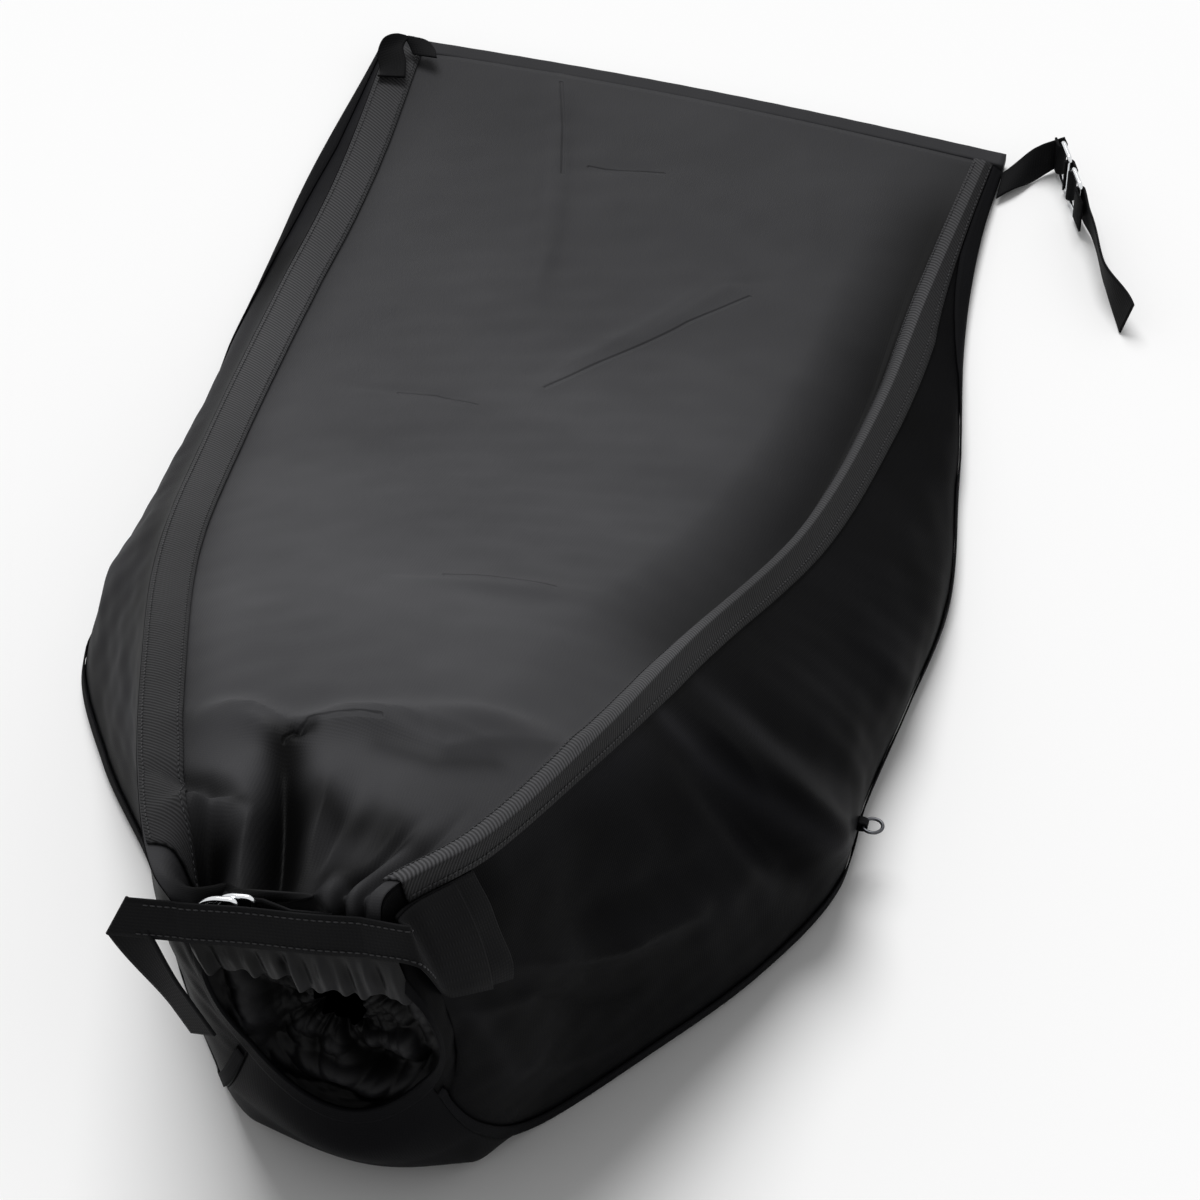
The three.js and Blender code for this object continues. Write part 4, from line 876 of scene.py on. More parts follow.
band_share = (WEBBING_WIDTH / 2 + 2) / LENGTH
neck_left, neck_right = on_line(top_seams["left"], band_share), on_line(top_seams["right"], band_share)
neck_span = np.linalg.norm(neck_right - neck_left)
axis_a = unit(neck_right - neck_left)
axis_c = unit(np.cross(axis_a, direction(top_seams["right"], np.array([band_share]))[0]))
axis_b = np.cross(axis_c, axis_a)
neck_centre = (neck_left + neck_right) / 2
CREST_DEPTHS, CREST_SHARES = [1, 7, 14, 21, 27], [0.02, 0.06, 0.76, 0.82, 0.88, 0.94, 0.98]
probe_s, probe_v = np.meshgrid(np.array(CREST_DEPTHS) / LENGTH, CREST_SHARES)
crest_depth = ((top_surface(probe_s, probe_v, False) - neck_centre) @ axis_c).max()
band_depth = crest_depth + HEM / 2 + 3 * GAP + WEBBING / 2


def on_neck(a, b, c):
    """Point at a across the neck, b up along the turned edge and c out to the front."""
    a, b, c = np.broadcast_arrays(a, b, c)
    in_front = (band_depth + c)[..., None] * axis_c
    return neck_centre + a[..., None] * axis_a + b[..., None] * axis_b + in_front


print(f"neck {neck_span:.0f} mm wide, band {band_depth:.1f} mm in front of the seams")

# %% Fold and tail
FOLD_SLANT, TAIL_LEAN, TAIL_TWIST = 1.02, -0.03, 0.5
TAIL_LENGTH, STRAP_OVERHANG = 80, 34
FOLD_RADIUS = (WEBBING + GAP) / 2
fold_at = -neck_span / 2 - STRAP_OVERHANG


def folded_band(a, b):
    """The flat band's point (a, b), where past the fold line the distance from the line winds
    round a small radius and then runs straight back; the tail also twists and leans."""
    cos, sin = np.cos(FOLD_SLANT), np.sin(FOLD_SLANT)
    past = np.maximum(cos * b - sin * (a - fold_at), 0)
    turn = np.minimum(past / FOLD_RADIUS, np.pi)
    rest = past - turn * FOLD_RADIUS
    move = FOLD_RADIUS * np.sin(turn) - rest - past
    twist = TAIL_TWIST * smooth(rest, 0, 0.6 * TAIL_LENGTH)
    narrow = b * (np.cos(twist) - 1)
    depth = -FOLD_RADIUS * (1 - np.cos(turn)) - TAIL_LEAN * rest + b * np.sin(twist)
    return on_neck(
        a - sin * move + np.sin(2 * FOLD_SLANT) * narrow,
        b + cos * move - np.cos(2 * FOLD_SLANT) * narrow,
        depth,
    )


# %% [markdown]
# ## Anchor patch
# The strap's right end is sewn over a doubled patch of webbing on the gusset, beside the tape.

# %% Anchor patch
PATCH_START, PATCH_LENGTH, PATCH_GAP = 34, 56, 1
OUT_OF_SIDE = np.array([1.0, -0.5, 0.3])


def side_column(s, share):
    """Place across the right gusset that is a share of the way from the edge of its tape to the
    edge of its binding."""
    width = side_spans(s)
    start = np.minimum(TAPE_MIDDLE, TAPE_SHARE * width) + np.minimum(PATCH_GAP, 0.02 * width)
    end = width - np.minimum(SEAM_INSET + BINDING_WIDTH, BINDING_SHARE * width)
    return mix(start, end, share) / width


right_side = lambda s, v: gusset_surface("right", s, v)


def above_side(s, v, lift):
    """Points of the right gusset, raised out of the bag along its normals."""
    normal = -normal_at(right_side, s, v)
    return right_side(s, v) + lift * normal * np.sign((normal @ OUT_OF_SIDE).mean())


patch_rows = np.linspace(row_share(PATCH_START), row_share(PATCH_START + PATCH_LENGTH), 60)
patch_s, patch_share = np.meshgrid(patch_rows, np.linspace(0, 2 / 6, 24), indexing="ij")
patch_lift = CLOTH / 2 + GAP + WEBBING / 2
patch_points = above_side(patch_s, side_column(patch_s, patch_share), patch_lift)
keep(cloth_piece("strap_anchor", patch_points, TAPE_DRAWN), "strap_anchor_patch")
print(f"patch {lengths_along(patch_points, 0)[-1].mean():.0f} mm long")

# %% [markdown]
# ## The strap itself
# Over the patch the band follows three rails on the gusset, whose columns are blended across by
# a parabola. From there it turns to the front, and the rest of it is the flat band with its fold.

# %% Make the strap
band_lift = patch_lift + WEBBING + 4 * GAP
BAND_TURN, BAND_TURN_OUT, BAND_FRONT = 19, 3, 6
patch_rows = solid_rows[row_number(PATCH_START):row_number(PATCH_START + PATCH_LENGTH)]
band_s, band_share_across = np.meshgrid(patch_rows, np.array([0, 1, 2]) / 6, indexing="ij")
over_patch = above_side(band_s, side_column(band_s, band_share_across), band_lift)


def rail(column, b):
    """A lengthwise line of the band: along the patch from its back, then on to the front."""
    turn = on_neck(neck_span / 2 + BAND_TURN, b, BAND_TURN_OUT)
    return seam_line([*over_patch[::-1, column], turn, on_neck(neck_span / 2 - BAND_FRONT, b, 0.0)], 24)


steps = np.linspace(0, 1, 80)
low, middle, high = (on_line(rail(k, (1 - k) * WEBBING_WIDTH / 2), steps)[:, None] for k in (2, 1, 0))
columns = np.linspace(0, 1, 13)
c = columns[None, :, None]
start_rows = low * (1 - c) * (1 - 2 * c) + middle * 4 * c * (1 - c) + high * c * (2 * c - 1)

across = (columns - 0.5) * WEBBING_WIDTH
share = np.linspace(0, 1, 90)[1:]
turn_length = np.pi * FOLD_RADIUS / np.sin(FOLD_SLANT)
front = mix(neck_span / 2 - BAND_FRONT, fold_at + 1, share)
turning = fold_at - turn_length * np.linspace(0, 1, 24)[1:]
hanging = fold_at - turn_length - TAIL_LENGTH * np.linspace(0, 1, 60)[1:]
slant = np.concatenate([share ** 4, np.ones(23), 1 - np.linspace(0, 1, 60)[1:]])
a = np.concatenate([front, turning, hanging])[:, None]
a = a + slant[:, None] / np.tan(FOLD_SLANT) * across[None, :]
sag = 0.5 * np.sin(a / 11) * (np.abs(a) < neck_span / 2)
band = folded_band(a, across[None, :] + 0 * a) + sag[..., None] * axis_c
strap_points = np.concatenate([start_rows, band])
strap_length = lengths_along(strap_points, 0).mean(1)
strap_uv = np.stack(np.broadcast_arrays(across[None, :], strap_length[:, None]), -1)
strap = cloth_piece("neck_strap_webbing", strap_points, WEBBING_DRAWN, strap_uv)
keep(strap, "neck_strap")
print(f"neck strap {strap_length[-1]:.0f} mm long")

# %% [markdown]
# ## Cloth in the mouth
# Below the strap the cloth's edge hangs down as a short gathered skirt. It is a thin sheet in the
# strap's own frame, with pleats from two sums of sine waves that deepen downwards.

# %% Skirt below the strap
SKIRT_LEFT, SKIRT_RIGHT, SKIRT_TOP = -52, 62, -11.5
skirt_a = np.linspace(SKIRT_LEFT, SKIRT_RIGHT, 190)[None, :]
skirt_down = np.linspace(0, 1, 34)[:, None]
reach = 26 + 9 * smooth(skirt_a, -25, 20)
reach = reach + 2.2 * np.sin(skirt_a / 4.1) + 1.6 * np.sin(skirt_a / 1.9 + 1)
pleats = 2.6 * np.sin(skirt_a / 2.7 + 1.5 * np.sin(skirt_a / 9)) + 1.3 * np.sin(skirt_a / 1.3)
skirt_c = -1.7 - 9 * skirt_down ** 1.4 + pleats * smooth(skirt_down, 0, 0.6) * (1 - 0.3 * skirt_down)
skirt_points = on_neck(skirt_a, SKIRT_TOP - reach * skirt_down, skirt_c)
# Painted light on the pleats' crests and low down, and painted shade on the left and under the strap.
pleat_painted_light = 0.42 + 0.22 * pleats / 3 + 0.25 * smooth(skirt_down, 0.6, 0.9)
skirt_painted_light_and_shade = pleat_painted_light * mix(0.25, 1, smooth(skirt_a, -22, 8)) * mix(0.5, 1, smooth(skirt_down, 0, 0.3))
skirt = cloth_piece("neck_skirt_cloth", skirt_points, SKIRT_DRAWN, tone_and_painted_light=np.maximum(skirt_painted_light_and_shade, 0.1))
keep(skirt, "mouth_hem")
print(f"skirt {lengths_along(skirt_points, 1)[-1, -1]:.0f} mm long when pulled flat")

# %% [markdown]
# ## Inner sleeve
# A loose sleeve is bunched up inside the mouth, so that no chips fall out when the chute is
# pulled off. Its grid runs round the mouth and inwards to a small hole. The crumples are a sum of
# rectified sine waves, which have sharp valleys and round tops like pressed cloth.

# %% Inner sleeve
SLEEVE_DEPTH, SLEEVE_START, SLEEVE_END = 26, 0.985, 0.2
ring_of_mouth = mouth_row(SLEEVE_DEPTH)
ring_of_mouth = np.vstack([ring_of_mouth, ring_of_mouth[:1]])
length = walked(ring_of_mouth)
round_mouth = np.linspace(0, length[-1], 300, endpoint=False)
ring_of_mouth = placed(ring_of_mouth, length, round_mouth)
mouth_centre = ring_of_mouth.mean(0) + [0, 0, -22]
inwards_share = np.linspace(0, 1, 90)[:, None]
turn = (round_mouth / length[-1] * 2 * np.pi)[None, :]
radius = mix(SLEEVE_START, SLEEVE_END, inwards_share)
made_noise = np.random.default_rng(8)
crumple = 0 * (inwards_share + turn)
for _ in range(14):
    around = made_noise.integers(1, 6)
    into, phase = made_noise.uniform(-9, 9), made_noise.uniform(0, 6.28)
    bend = 0.8 * np.sin(2 * turn + 3 * inwards_share + 2 * phase)
    crumple = crumple + np.abs(np.sin(around * turn + into * inwards_share + phase + bend)) - 0.64
crumple = crumple / 2.4
sleeve_points = mouth_centre + (ring_of_mouth - mouth_centre)[None] * radius[..., None]
sunk = 2 + 30 * inwards_share ** 0.8 - 8 * crumple * smooth(inwards_share, 0, 0.2)
sleeve_points = sleeve_points - sunk[..., None] * unit(axis_c + [0, 0, 0.2])
# Painted highlights on the crumples' crests, and painted shade deeper inside the mouth.
sleeve_painted_light = np.clip(0.5 + 0.5 * crumple - 0.5 * inwards_share, 0.08, 2)
sleeve = cloth_piece("inner_sleeve_cloth", sleeve_points, SLEEVE_DRAWN, closed=True, tone_and_painted_light=sleeve_painted_light)
keep(sleeve, "mouth_hem")
print(f"sleeve {area_of(sleeve_points):.3f} m2")

# %% [markdown]
# ## Rings
# The D-rings are bent from nickel-plated wire, 3 mm thick. A ring is a round section carried
# along a flat outline: a straight bar, two small corners, and a bow or a second bar.

# %% Wire rings
RING_WIRE, RING_HEIGHT, RING_DEPTH, RING_CORNER, RING_DROP = 3.2, 30, 24, 3.5, 2
CORNER_RING_DEPTH, SIDE_RING_WIRE, SIDE_RING_RADIUS = 20, 2.2, 6


def arc(x, y, radius, start, end, count):
    """Points of a circle's arc: [x + r cos t, y + r sin t]."""
    t = np.linspace(start, end, count)
    return np.stack([x + radius * np.cos(t), y + radius * np.sin(t)], -1)


def ring_outline(depth, height, bowed):
    """Outline of a ring as [depth from the bar, height] points, spaced evenly by length."""
    half, r, quarter = height / 2, RING_CORNER, np.pi / 2
    parts = [arc(r, half - r, r, 2 * quarter, quarter, 14)]
    if bowed:
        parts.append(arc(depth - half, 0, half, quarter, -quarter, 60))
    else:
        parts.append(arc(depth - r, half - r, r, quarter, 0, 14))
        parts.append(arc(depth - r, r - half, r, 0, -quarter, 14))
    parts.append(arc(r, r - half, r, -quarter, -2 * quarter, 14))
    loop = np.concatenate([*parts, parts[0][:1]])
    length = walked(loop)
    return placed(loop, length, np.linspace(0, length[-1], 160, endpoint=False))


def wire_loop(name, loop, normal, wire, sides=16):
    """Closed tube: at each point of a flat loop, a circle in the plane of the loop's normal and
    the direction outwards."""
    tangent = unit(np.roll(loop, -1, 0) - np.roll(loop, 1, 0))
    outward = np.cross(tangent, normal)
    t = np.linspace(0, 2 * np.pi, sides, endpoint=False)
    circle = np.cos(t)[None, :, None] * outward[:, None] + np.sin(t)[None, :, None] * normal
    tube = loop[:, None] + wire / 2 * circle
    count = len(loop)
    i, j = np.meshgrid(np.arange(count), np.arange(sides), indexing="ij")
    n, k = (i + 1) % count, (j + 1) % sides
    faces = np.stack([i * sides + j, n * sides + j, n * sides + k, i * sides + k], -1).reshape(-1, 4)
    return outside_out(new_piece(name, tube, faces))


BAR_AT, BAR_STEP = -0.35 * NECK_HALF_SPAN, 8
tab_depth = -(WEBBING + GAP)
outer_depth = tab_depth - WEBBING / 2 - GAP - RING_WIRE / 2
inner_depth = outer_depth - RING_WIRE - GAP
neck_outline = ring_outline(RING_DEPTH, RING_HEIGHT, True)
for solid, bar, depth in (
    ("neck_ring_outer", BAR_AT, outer_depth), ("neck_ring_inner", BAR_AT + BAR_STEP, inner_depth),
):
    loop = on_neck(bar - neck_outline[:, 0], neck_outline[:, 1] - RING_DROP, depth)
    keep(wire_loop(f"{solid}_wire", loop, axis_c, RING_WIRE), solid)
print(f"neck rings {RING_HEIGHT + RING_WIRE:.0f} mm high, {abs(outer_depth):.1f} mm behind the band")

# %% Tab that holds the neck rings
TAB_LENGTH, TAB_SEWN_FROM = 52, 30
tab_back = inner_depth - RING_WIRE / 2 - GAP - WEBBING / 2
tab_turn = (tab_depth - tab_back) / 2
half_circle = arc(BAR_AT, tab_depth - tab_turn, tab_turn, np.pi / 2, 1.5 * np.pi, 16)
tab_closed = tab_depth - WEBBING - GAP
tab_path = np.concatenate([
    [[BAR_AT + TAB_LENGTH, tab_depth], [BAR_AT + TAB_LENGTH / 2, tab_depth]], half_circle,
    [[BAR_AT + BAR_STEP + 4, tab_back], [BAR_AT + TAB_SEWN_FROM, tab_closed]],
    [[BAR_AT + TAB_LENGTH, tab_closed]],
])
tab_points = on_neck(tab_path[:, :1], across[None, :] - RING_DROP, tab_path[:, 1:])
keep(cloth_piece("neck_tab_webbing", tab_points, TAB_DRAWN), "neck_ring_tab")
print(f"tab turns {tab_turn:.1f} mm round both bars")

# %% [markdown]
# ## Straps beside the far right corner
# A short strap comes out of the corner seam and stands on its edge. It holds an oblong ring, a
# loop joins that to a second ring, and a free tail hangs from the second one. Their paths are
# lines in plan, and the webbing stands upright along them.

# %% Paths beside the corner
CHAIN_ANGLE, CHAIN_REACH, CHAIN_BACK = -1.15, 39, 12
CORNER_TAIL_LENGTH, TAIL_WAVE, RINGS_APART = 118, 3, 5
chain = np.array([np.cos(CHAIN_ANGLE), np.sin(CHAIN_ANGLE), 0])
beside = np.array([-chain[1], chain[0], 0])
edge_height = RING_HEIGHT / 2 + RING_WIRE / 2 + GAP
corner_point = np.array([FAR_RIGHT, FAR_Y, 0])
chain_start = corner_point + [CHAIN_REACH, CHAIN_BACK, edge_height]
wrap = RING_WIRE / 2 + GAP + WEBBING / 2
second_bar = CORNER_RING_DEPTH
third_bar = second_bar + RING_WIRE + 2 * GAP + RINGS_APART
last_bar = third_bar + CORNER_RING_DEPTH
upwards = np.array([0, 0, 1.0])


def on_chain(along, aside, height=0.0):
    """Point at a distance along the chain of rings, beside it, and above its middle."""
    along, aside, height = np.broadcast_arrays(along, aside, height)
    flat = chain_start + along[..., None] * chain + aside[..., None] * beside
    return flat + height[..., None] * upwards


def standing(path, lean=0.0):
    """Band along a path of [along, aside, height] places, upright or leaning aside by an angle."""
    lean = np.broadcast_to(lean, len(path))[:, None]
    aside, height = path[:, 1:2] + across * np.sin(lean), path[:, 2:3] + across * np.cos(lean)
    return on_chain(path[:, :1], aside, height)


def round_bar(along, start, end, count=14):
    """Path of the webbing round a bar: an arc about it, at the chain's own height."""
    points = arc(along, 0, wrap, start, end, count)
    return np.column_stack([points, np.zeros(count)])


def bent_strip(name, points, solid):
    """Webbing strip from a grid of points, with its UV map in its own width and length."""
    width, length = lengths_along(points, 1).mean(0), lengths_along(points, 0).mean(1)
    uv = np.stack(np.broadcast_arrays(width[None, :], length[:, None]), -1)
    return keep(cloth_piece(name, points, WEBBING_DRAWN, uv), solid)


corner_outline = ring_outline(CORNER_RING_DEPTH, RING_HEIGHT, False)
for solid, bar in (("corner_ring_inner", 0), ("corner_ring_outer", third_bar)):
    loop = on_chain(bar + corner_outline[:, 0], 0.0, corner_outline[:, 1])
    keep(wire_loop(f"{solid}_wire", loop, beside, RING_WIRE), solid)

# %% Corner straps
strap_root = corner_point + [WEBBING / 2 - GAP, -16, WEBBING_WIDTH / 4]
share = np.linspace(0, 1, 20)
first_of_loop = on_chain(-7.0, wrap)
turned = unit(mix(np.array([0, 1, 0.1]), upwards, smooth(share, 0, 1)[:, None]))
middle = mix(strap_root, first_of_loop, share[:, None])
middle[:, 1] += 3 * np.sin(np.pi * share)
twisted = middle[:, None] + across[None, :, None] * turned[:, None]
loop_in = np.concatenate([round_bar(0, 0.5 * np.pi, -0.5 * np.pi), [[-8, -wrap, 0]]])
bent_strip("corner_strap_webbing", np.concatenate([twisted, standing(loop_in)]), "corner_strap")

loop_path = np.concatenate([
    round_bar(second_bar, 1.5 * np.pi, 0.5 * np.pi), round_bar(third_bar, 0.5 * np.pi, -0.5 * np.pi),
])
loop_points = standing(np.concatenate([loop_path, loop_path[:1]]))
bent_strip("corner_loop_webbing", loop_points[:-1].transpose(1, 0, 2)[:, ::-1], "corner_ring_wrap")

share = np.linspace(0, 1, 70)[1:]
aside = wrap * (1 - share) + TAIL_WAVE * np.sin(2.6 * np.pi * share) * share
free = np.column_stack([last_bar + CORNER_TAIL_LENGTH * share, aside, -4 * share])
lean = mix(-0.16, 0.3, smooth(share, 0.6, 1)) * smooth(share, 0, 0.2)
tail_path = np.concatenate([[[last_bar + 16, -wrap, 0]], round_bar(last_bar, 1.5 * np.pi, 0.5 * np.pi), free])
tail_lean = np.concatenate([np.zeros(len(tail_path) - len(lean)), lean])
bent_strip("corner_tail_webbing", standing(tail_path, tail_lean), "corner_tail")
print(f"rings {third_bar:.1f} mm apart, tail {CORNER_TAIL_LENGTH} mm")

# %% [markdown]
# ## Loop at the far left corner
# A short end of webbing is sewn into the other corner. It lies crumpled on the top panel, so its
# middle line winds and its width turns from side to side along it.

# %% Loop at the far left corner
LOOP_RISE, LOOP_WIDTH, LOOP_LENGTH = 13, 33, 44
loop_level = FAR_HEIGHT + CLOTH / 2 + 2 * GAP + 1.5 * WEBBING
left_corner = np.array([-FAR_HALF_SPAN, FAR_Y + FAR_SKEW, loop_level])
corner_loop = seam_line(left_corner + np.array([
    [0.48, -1, 0.46], [0.39, -0.68, 0.38], [0.24, -0.41, 0.7], [0.33, -0.18, 1],
    [0.64, -0.07, 0.8], [0.85, -0.18, 0.6], [1, -0.36, 0.46],
]) * [LOOP_WIDTH, LOOP_LENGTH, LOOP_RISE])
share = np.linspace(0, 1, 90)
turn = 4 * share
sideways = unit(np.stack([1 + 0 * turn, 0.15 + 0.5 * np.sin(turn), 0.35 * np.sin(1.75 * turn)], -1))
strip = on_line(corner_loop, share)[:, None] + 0.8 * across[None, :, None] * sideways[:, None]
bent_strip("left_loop_webbing", strip, "left_corner_loop")
print(f"left loop {corner_loop[2]:.0f} mm long")

# %% [markdown]
# ## Side ring
# A small blackened ring hangs in a tab at the lower right seam. It lies in the plane of the
# gusset's normal and the seam, with the tab folded round it.

# %% Side ring and its tab
SIDE_TAB_WIDTH, SIDE_TAB_REACH, SIDE_TAB, SIDE_RING_SHARE = 6, 3, 1.2, 0.395
plain_side = lambda s, v: gusset_surface("right", s, v, False)
side_s = np.array([row_share(SIDE_RING_SHARE * LENGTH)])
side_v = side_column(side_s, 5 / 6)
side_point = plain_side(side_s, side_v)[0]
side_along = unit(plain_side(side_s + 0.03, side_v)[0] - side_point)
side_out = normal_at(plain_side, side_s, side_v, 0.01)[0]
side_out = side_out * np.sign(side_out[0])
side_up = unit(np.cross(side_out, side_along))
side_turn = SIDE_RING_WIRE / 2 + 4 * GAP + SIDE_TAB / 2
tab_reach = CLOTH / 2 + GAP + SIDE_TAB_REACH


def on_side(along, out, up):
    """Point along the seam, out from the gusset and up across it, from the tab's root."""
    along, out, up = np.broadcast_arrays(along, out, up)
    in_plane = along[..., None] * side_along + out[..., None] * side_out
    return side_point + in_plane + up[..., None] * side_up


side_path = np.concatenate([
    [[CLOTH / 2 + GAP, side_turn]], arc(tab_reach, 0, side_turn, np.pi / 2, -np.pi / 2, 14),
    [[CLOTH / 2 + GAP, -side_turn]],
])
tab_width = np.linspace(-0.5, 0.5, 7)[None, :] * SIDE_TAB_WIDTH
side_tab_points = on_side(tab_width, side_path[:, :1], side_path[:, 1:])
keep(cloth_piece("side_tab_webbing", side_tab_points, BINDING_DRAWN), "side_ring_tab")
circle = arc(0, 0, SIDE_RING_RADIUS, 0, 2 * np.pi, 61)[:-1]
ring_points = on_side(circle[:, 1], tab_reach + SIDE_RING_RADIUS - circle[:, 0], 0.0)
keep(wire_loop("side_ring_wire", ring_points, side_up, SIDE_RING_WIRE, 12), "side_ring")
print("side ring at", side_point.round(), "mm")

# %% [markdown]
# ## Stitches
# Black thread holds the tapes, the hem and the strap. A stitch is a short rounded bar that
# lies on the cloth, and a row of them repeats every 4 mm: a few dozen faces each.

# %% Rows of stitches
STITCH, STITCH_STEP, THREAD = 2.8, 4.0, 0.55


def stitches(name, rows_of_points, rows_of_normals):
    """Bars along each line of points: a six-sided section that narrows to both ends."""
    t = np.linspace(0, 2 * np.pi, 6, endpoint=False)
    reach = np.array([-0.5, -0.42, 0, 0.42, 0.5]) * STITCH
    swell = np.array([0.15, 0.8, 1, 0.8, 0.15]) * THREAD
    all_rings = []
    for line, normals in zip(rows_of_points, rows_of_normals):
        length = walked(line)
        even = np.arange(STITCH_STEP, length[-1] - STITCH_STEP, STITCH_STEP)
        centre = placed(line, length, even)
        along = unit(placed(line, length, even + 1) - placed(line, length, even - 1))
        up = unit(placed(normals, length, even))
        side = np.cross(along, up)
        ring = (
            centre[:, None, None] + reach[None, :, None, None] * along[:, None, None]
            + swell[None, :, None, None] * (np.cos(t)[None, None, :, None] * side[:, None, None]
                                            + 0.6 * np.sin(t)[None, None, :, None] * up[:, None, None])
        )
        all_rings.append(ring)
    rings = np.concatenate(all_rings)
    count, stations, sides = rings.shape[:3]
    base = np.arange(count)[:, None, None] * stations * sides
    i, j = np.meshgrid(np.arange(stations - 1), np.arange(sides), indexing="ij")
    k = (j + 1) % sides
    quads = np.stack([i * sides + j, (i + 1) * sides + j, (i + 1) * sides + k, i * sides + k], -1)
    faces = (quads.reshape(1, -1, 4) + base).reshape(-1, 4).tolist()
    ends = np.arange(sides)
    start = (base[:, 0] + ends[None, :]).tolist()
    end = (base[:, 0] + (stations - 1) * sides + ends[None, ::-1]).tolist()
    piece = outside_out(new_piece(name, rings, faces + start + end))
    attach(piece, "root")
    pieces[name] = piece
    return count


def seam_rows(points, inset, lift, width):
    """Two lines of a strip's grid, each inset from its edge, with the strip's normals."""
    place = inset / width * (points.shape[1] - 1)
    normals = normals_of(points)
    lines, ups = [], []
    for at in (place, points.shape[1] - 1 - place):
        low = int(at)
        blend = at - low
        line = mix(points[:, low], points[:, min(low + 1, points.shape[1] - 1)], blend)
        normal = normals[:, low]
        lines.append(line + lift * normal)
        ups.append(normal)
    return lines, ups


made = stitches("left_tape_stitches", *seam_rows(left_tape_points, 2.5, 1.0, WEBBING_WIDTH))
made += stitches("right_tape_stitches", *seam_rows(right_tape_points, 2.5, 1.0, WEBBING_WIDTH))
front_rows = strap_points[40:165]
made += stitches("strap_stitches", *seam_rows(front_rows, 3, 1.0, WEBBING_WIDTH))
print(made, "stitches")

# %% [markdown]
# ## Materials
# Everything on the bag is black, but each finish gives the light back in its own way. The
# coated cloth has a soft sheen, the tape shows fine slanting ribs, the webbing is matt with a
# close weave, and the rings mirror the pale surroundings.

# %% Nodes and colours
def linear(code):
    """Linear colour of an sRGB code: c/12.92 below 0.04045, else ((c + 0.055)/1.055)^2.4."""
    c = np.array([int(code[i:i + 2], 16) / 255 for i in (1, 3, 5)])
    return (*np.where(c <= 0.04045, c / 12.92, ((c + 0.055) / 1.055) ** 2.4), 1.0)


def node(tree, kind, settings=None, **links):
    """Adds a node, sets its properties and links or sets its inputs by name."""
    made = tree.nodes.new(kind)
    for key, value in (settings or {}).items():
        setattr(made, key, value)
    for key, value in links.items():
        socket = made.inputs[int(key[1:]) if key[1:].isdigit() else key.replace("_", " ")]
        if isinstance(value, bpy.types.NodeSocket):
            tree.links.new(value, socket)
        else:
            socket.default_value = value
    return made


def material(name, **constants):
    """Material with one Principled shader, whose constants are set on its own sockets."""
    made = bpy.data.materials.new(name)
    made.use_nodes = True
    shader = made.node_tree.nodes["Principled BSDF"]
    for key, value in constants.items():
        shader.inputs[key.replace("_", " ")].default_value = value
    return made, made.node_tree, shader


def paint(material_made, *names):
    """Gives the material to pieces made above."""
    for name in names:
        pieces[name].data.materials.clear()
        pieces[name].data.materials.append(material_made)


# %% Coated cloth of the top panel
# Woven polyester with a thin polyurethane coat, pressed smooth by calender rolls: dark grey
# under the light, with a faint plain weave. The real threads are 0.45 mm apart, which no pixel
# shows, so the weave is drawn at 1.6 mm. A wave texture repeats 3.18 times per unit of its scale.
WEAVE, WEAVE_HEIGHT, WAVES_PER_UNIT = 0.0016, 0.00008, 3.18


def fold_lines(tree, paths, width):
    """1 on straight lines between [across, along] places in metres of the UV map, falling to 0 at
    the width: the smallest distance to any of the lines."""
    cloth = node(tree, "ShaderNodeUVMap", dict(uv_map="cloth"))
    nearest = None
    for path in paths:
        for a, b in zip(path, path[1:]):
            line = (b[0] - a[0], b[1] - a[1], 0)
            square = line[0] ** 2 + line[1] ** 2
            from_a = node(tree, "ShaderNodeVectorMath", dict(operation="SUBTRACT"),
                          _0=cloth.outputs[0], _1=(*a, 0))
            part = node(tree, "ShaderNodeVectorMath", dict(operation="DOT_PRODUCT"),
                        _0=from_a.outputs[0], _1=line)
            share = node(tree, "ShaderNodeMath", dict(operation="DIVIDE", use_clamp=True),
                         _0=part.outputs["Value"], _1=square)
            foot = node(tree, "ShaderNodeVectorMath", dict(operation="SCALE"),
                        _0=line, Scale=share.outputs[0])
            gap = node(tree, "ShaderNodeVectorMath", dict(operation="DISTANCE"),
                       _0=from_a.outputs[0], _1=foot.outputs[0])
            nearest = gap.outputs["Value"] if nearest is None else node(
                tree, "ShaderNodeMath", dict(operation="MINIMUM"), _0=nearest, _1=gap.outputs["Value"],
            ).outputs[0]
    return node(
        tree, "ShaderNodeMapRange", dict(interpolation_type="SMOOTHSTEP"),
        Value=nearest, From_Min=0.0, From_Max=width, To_Min=1.0, To_Max=0.0,
    ).outputs[0]


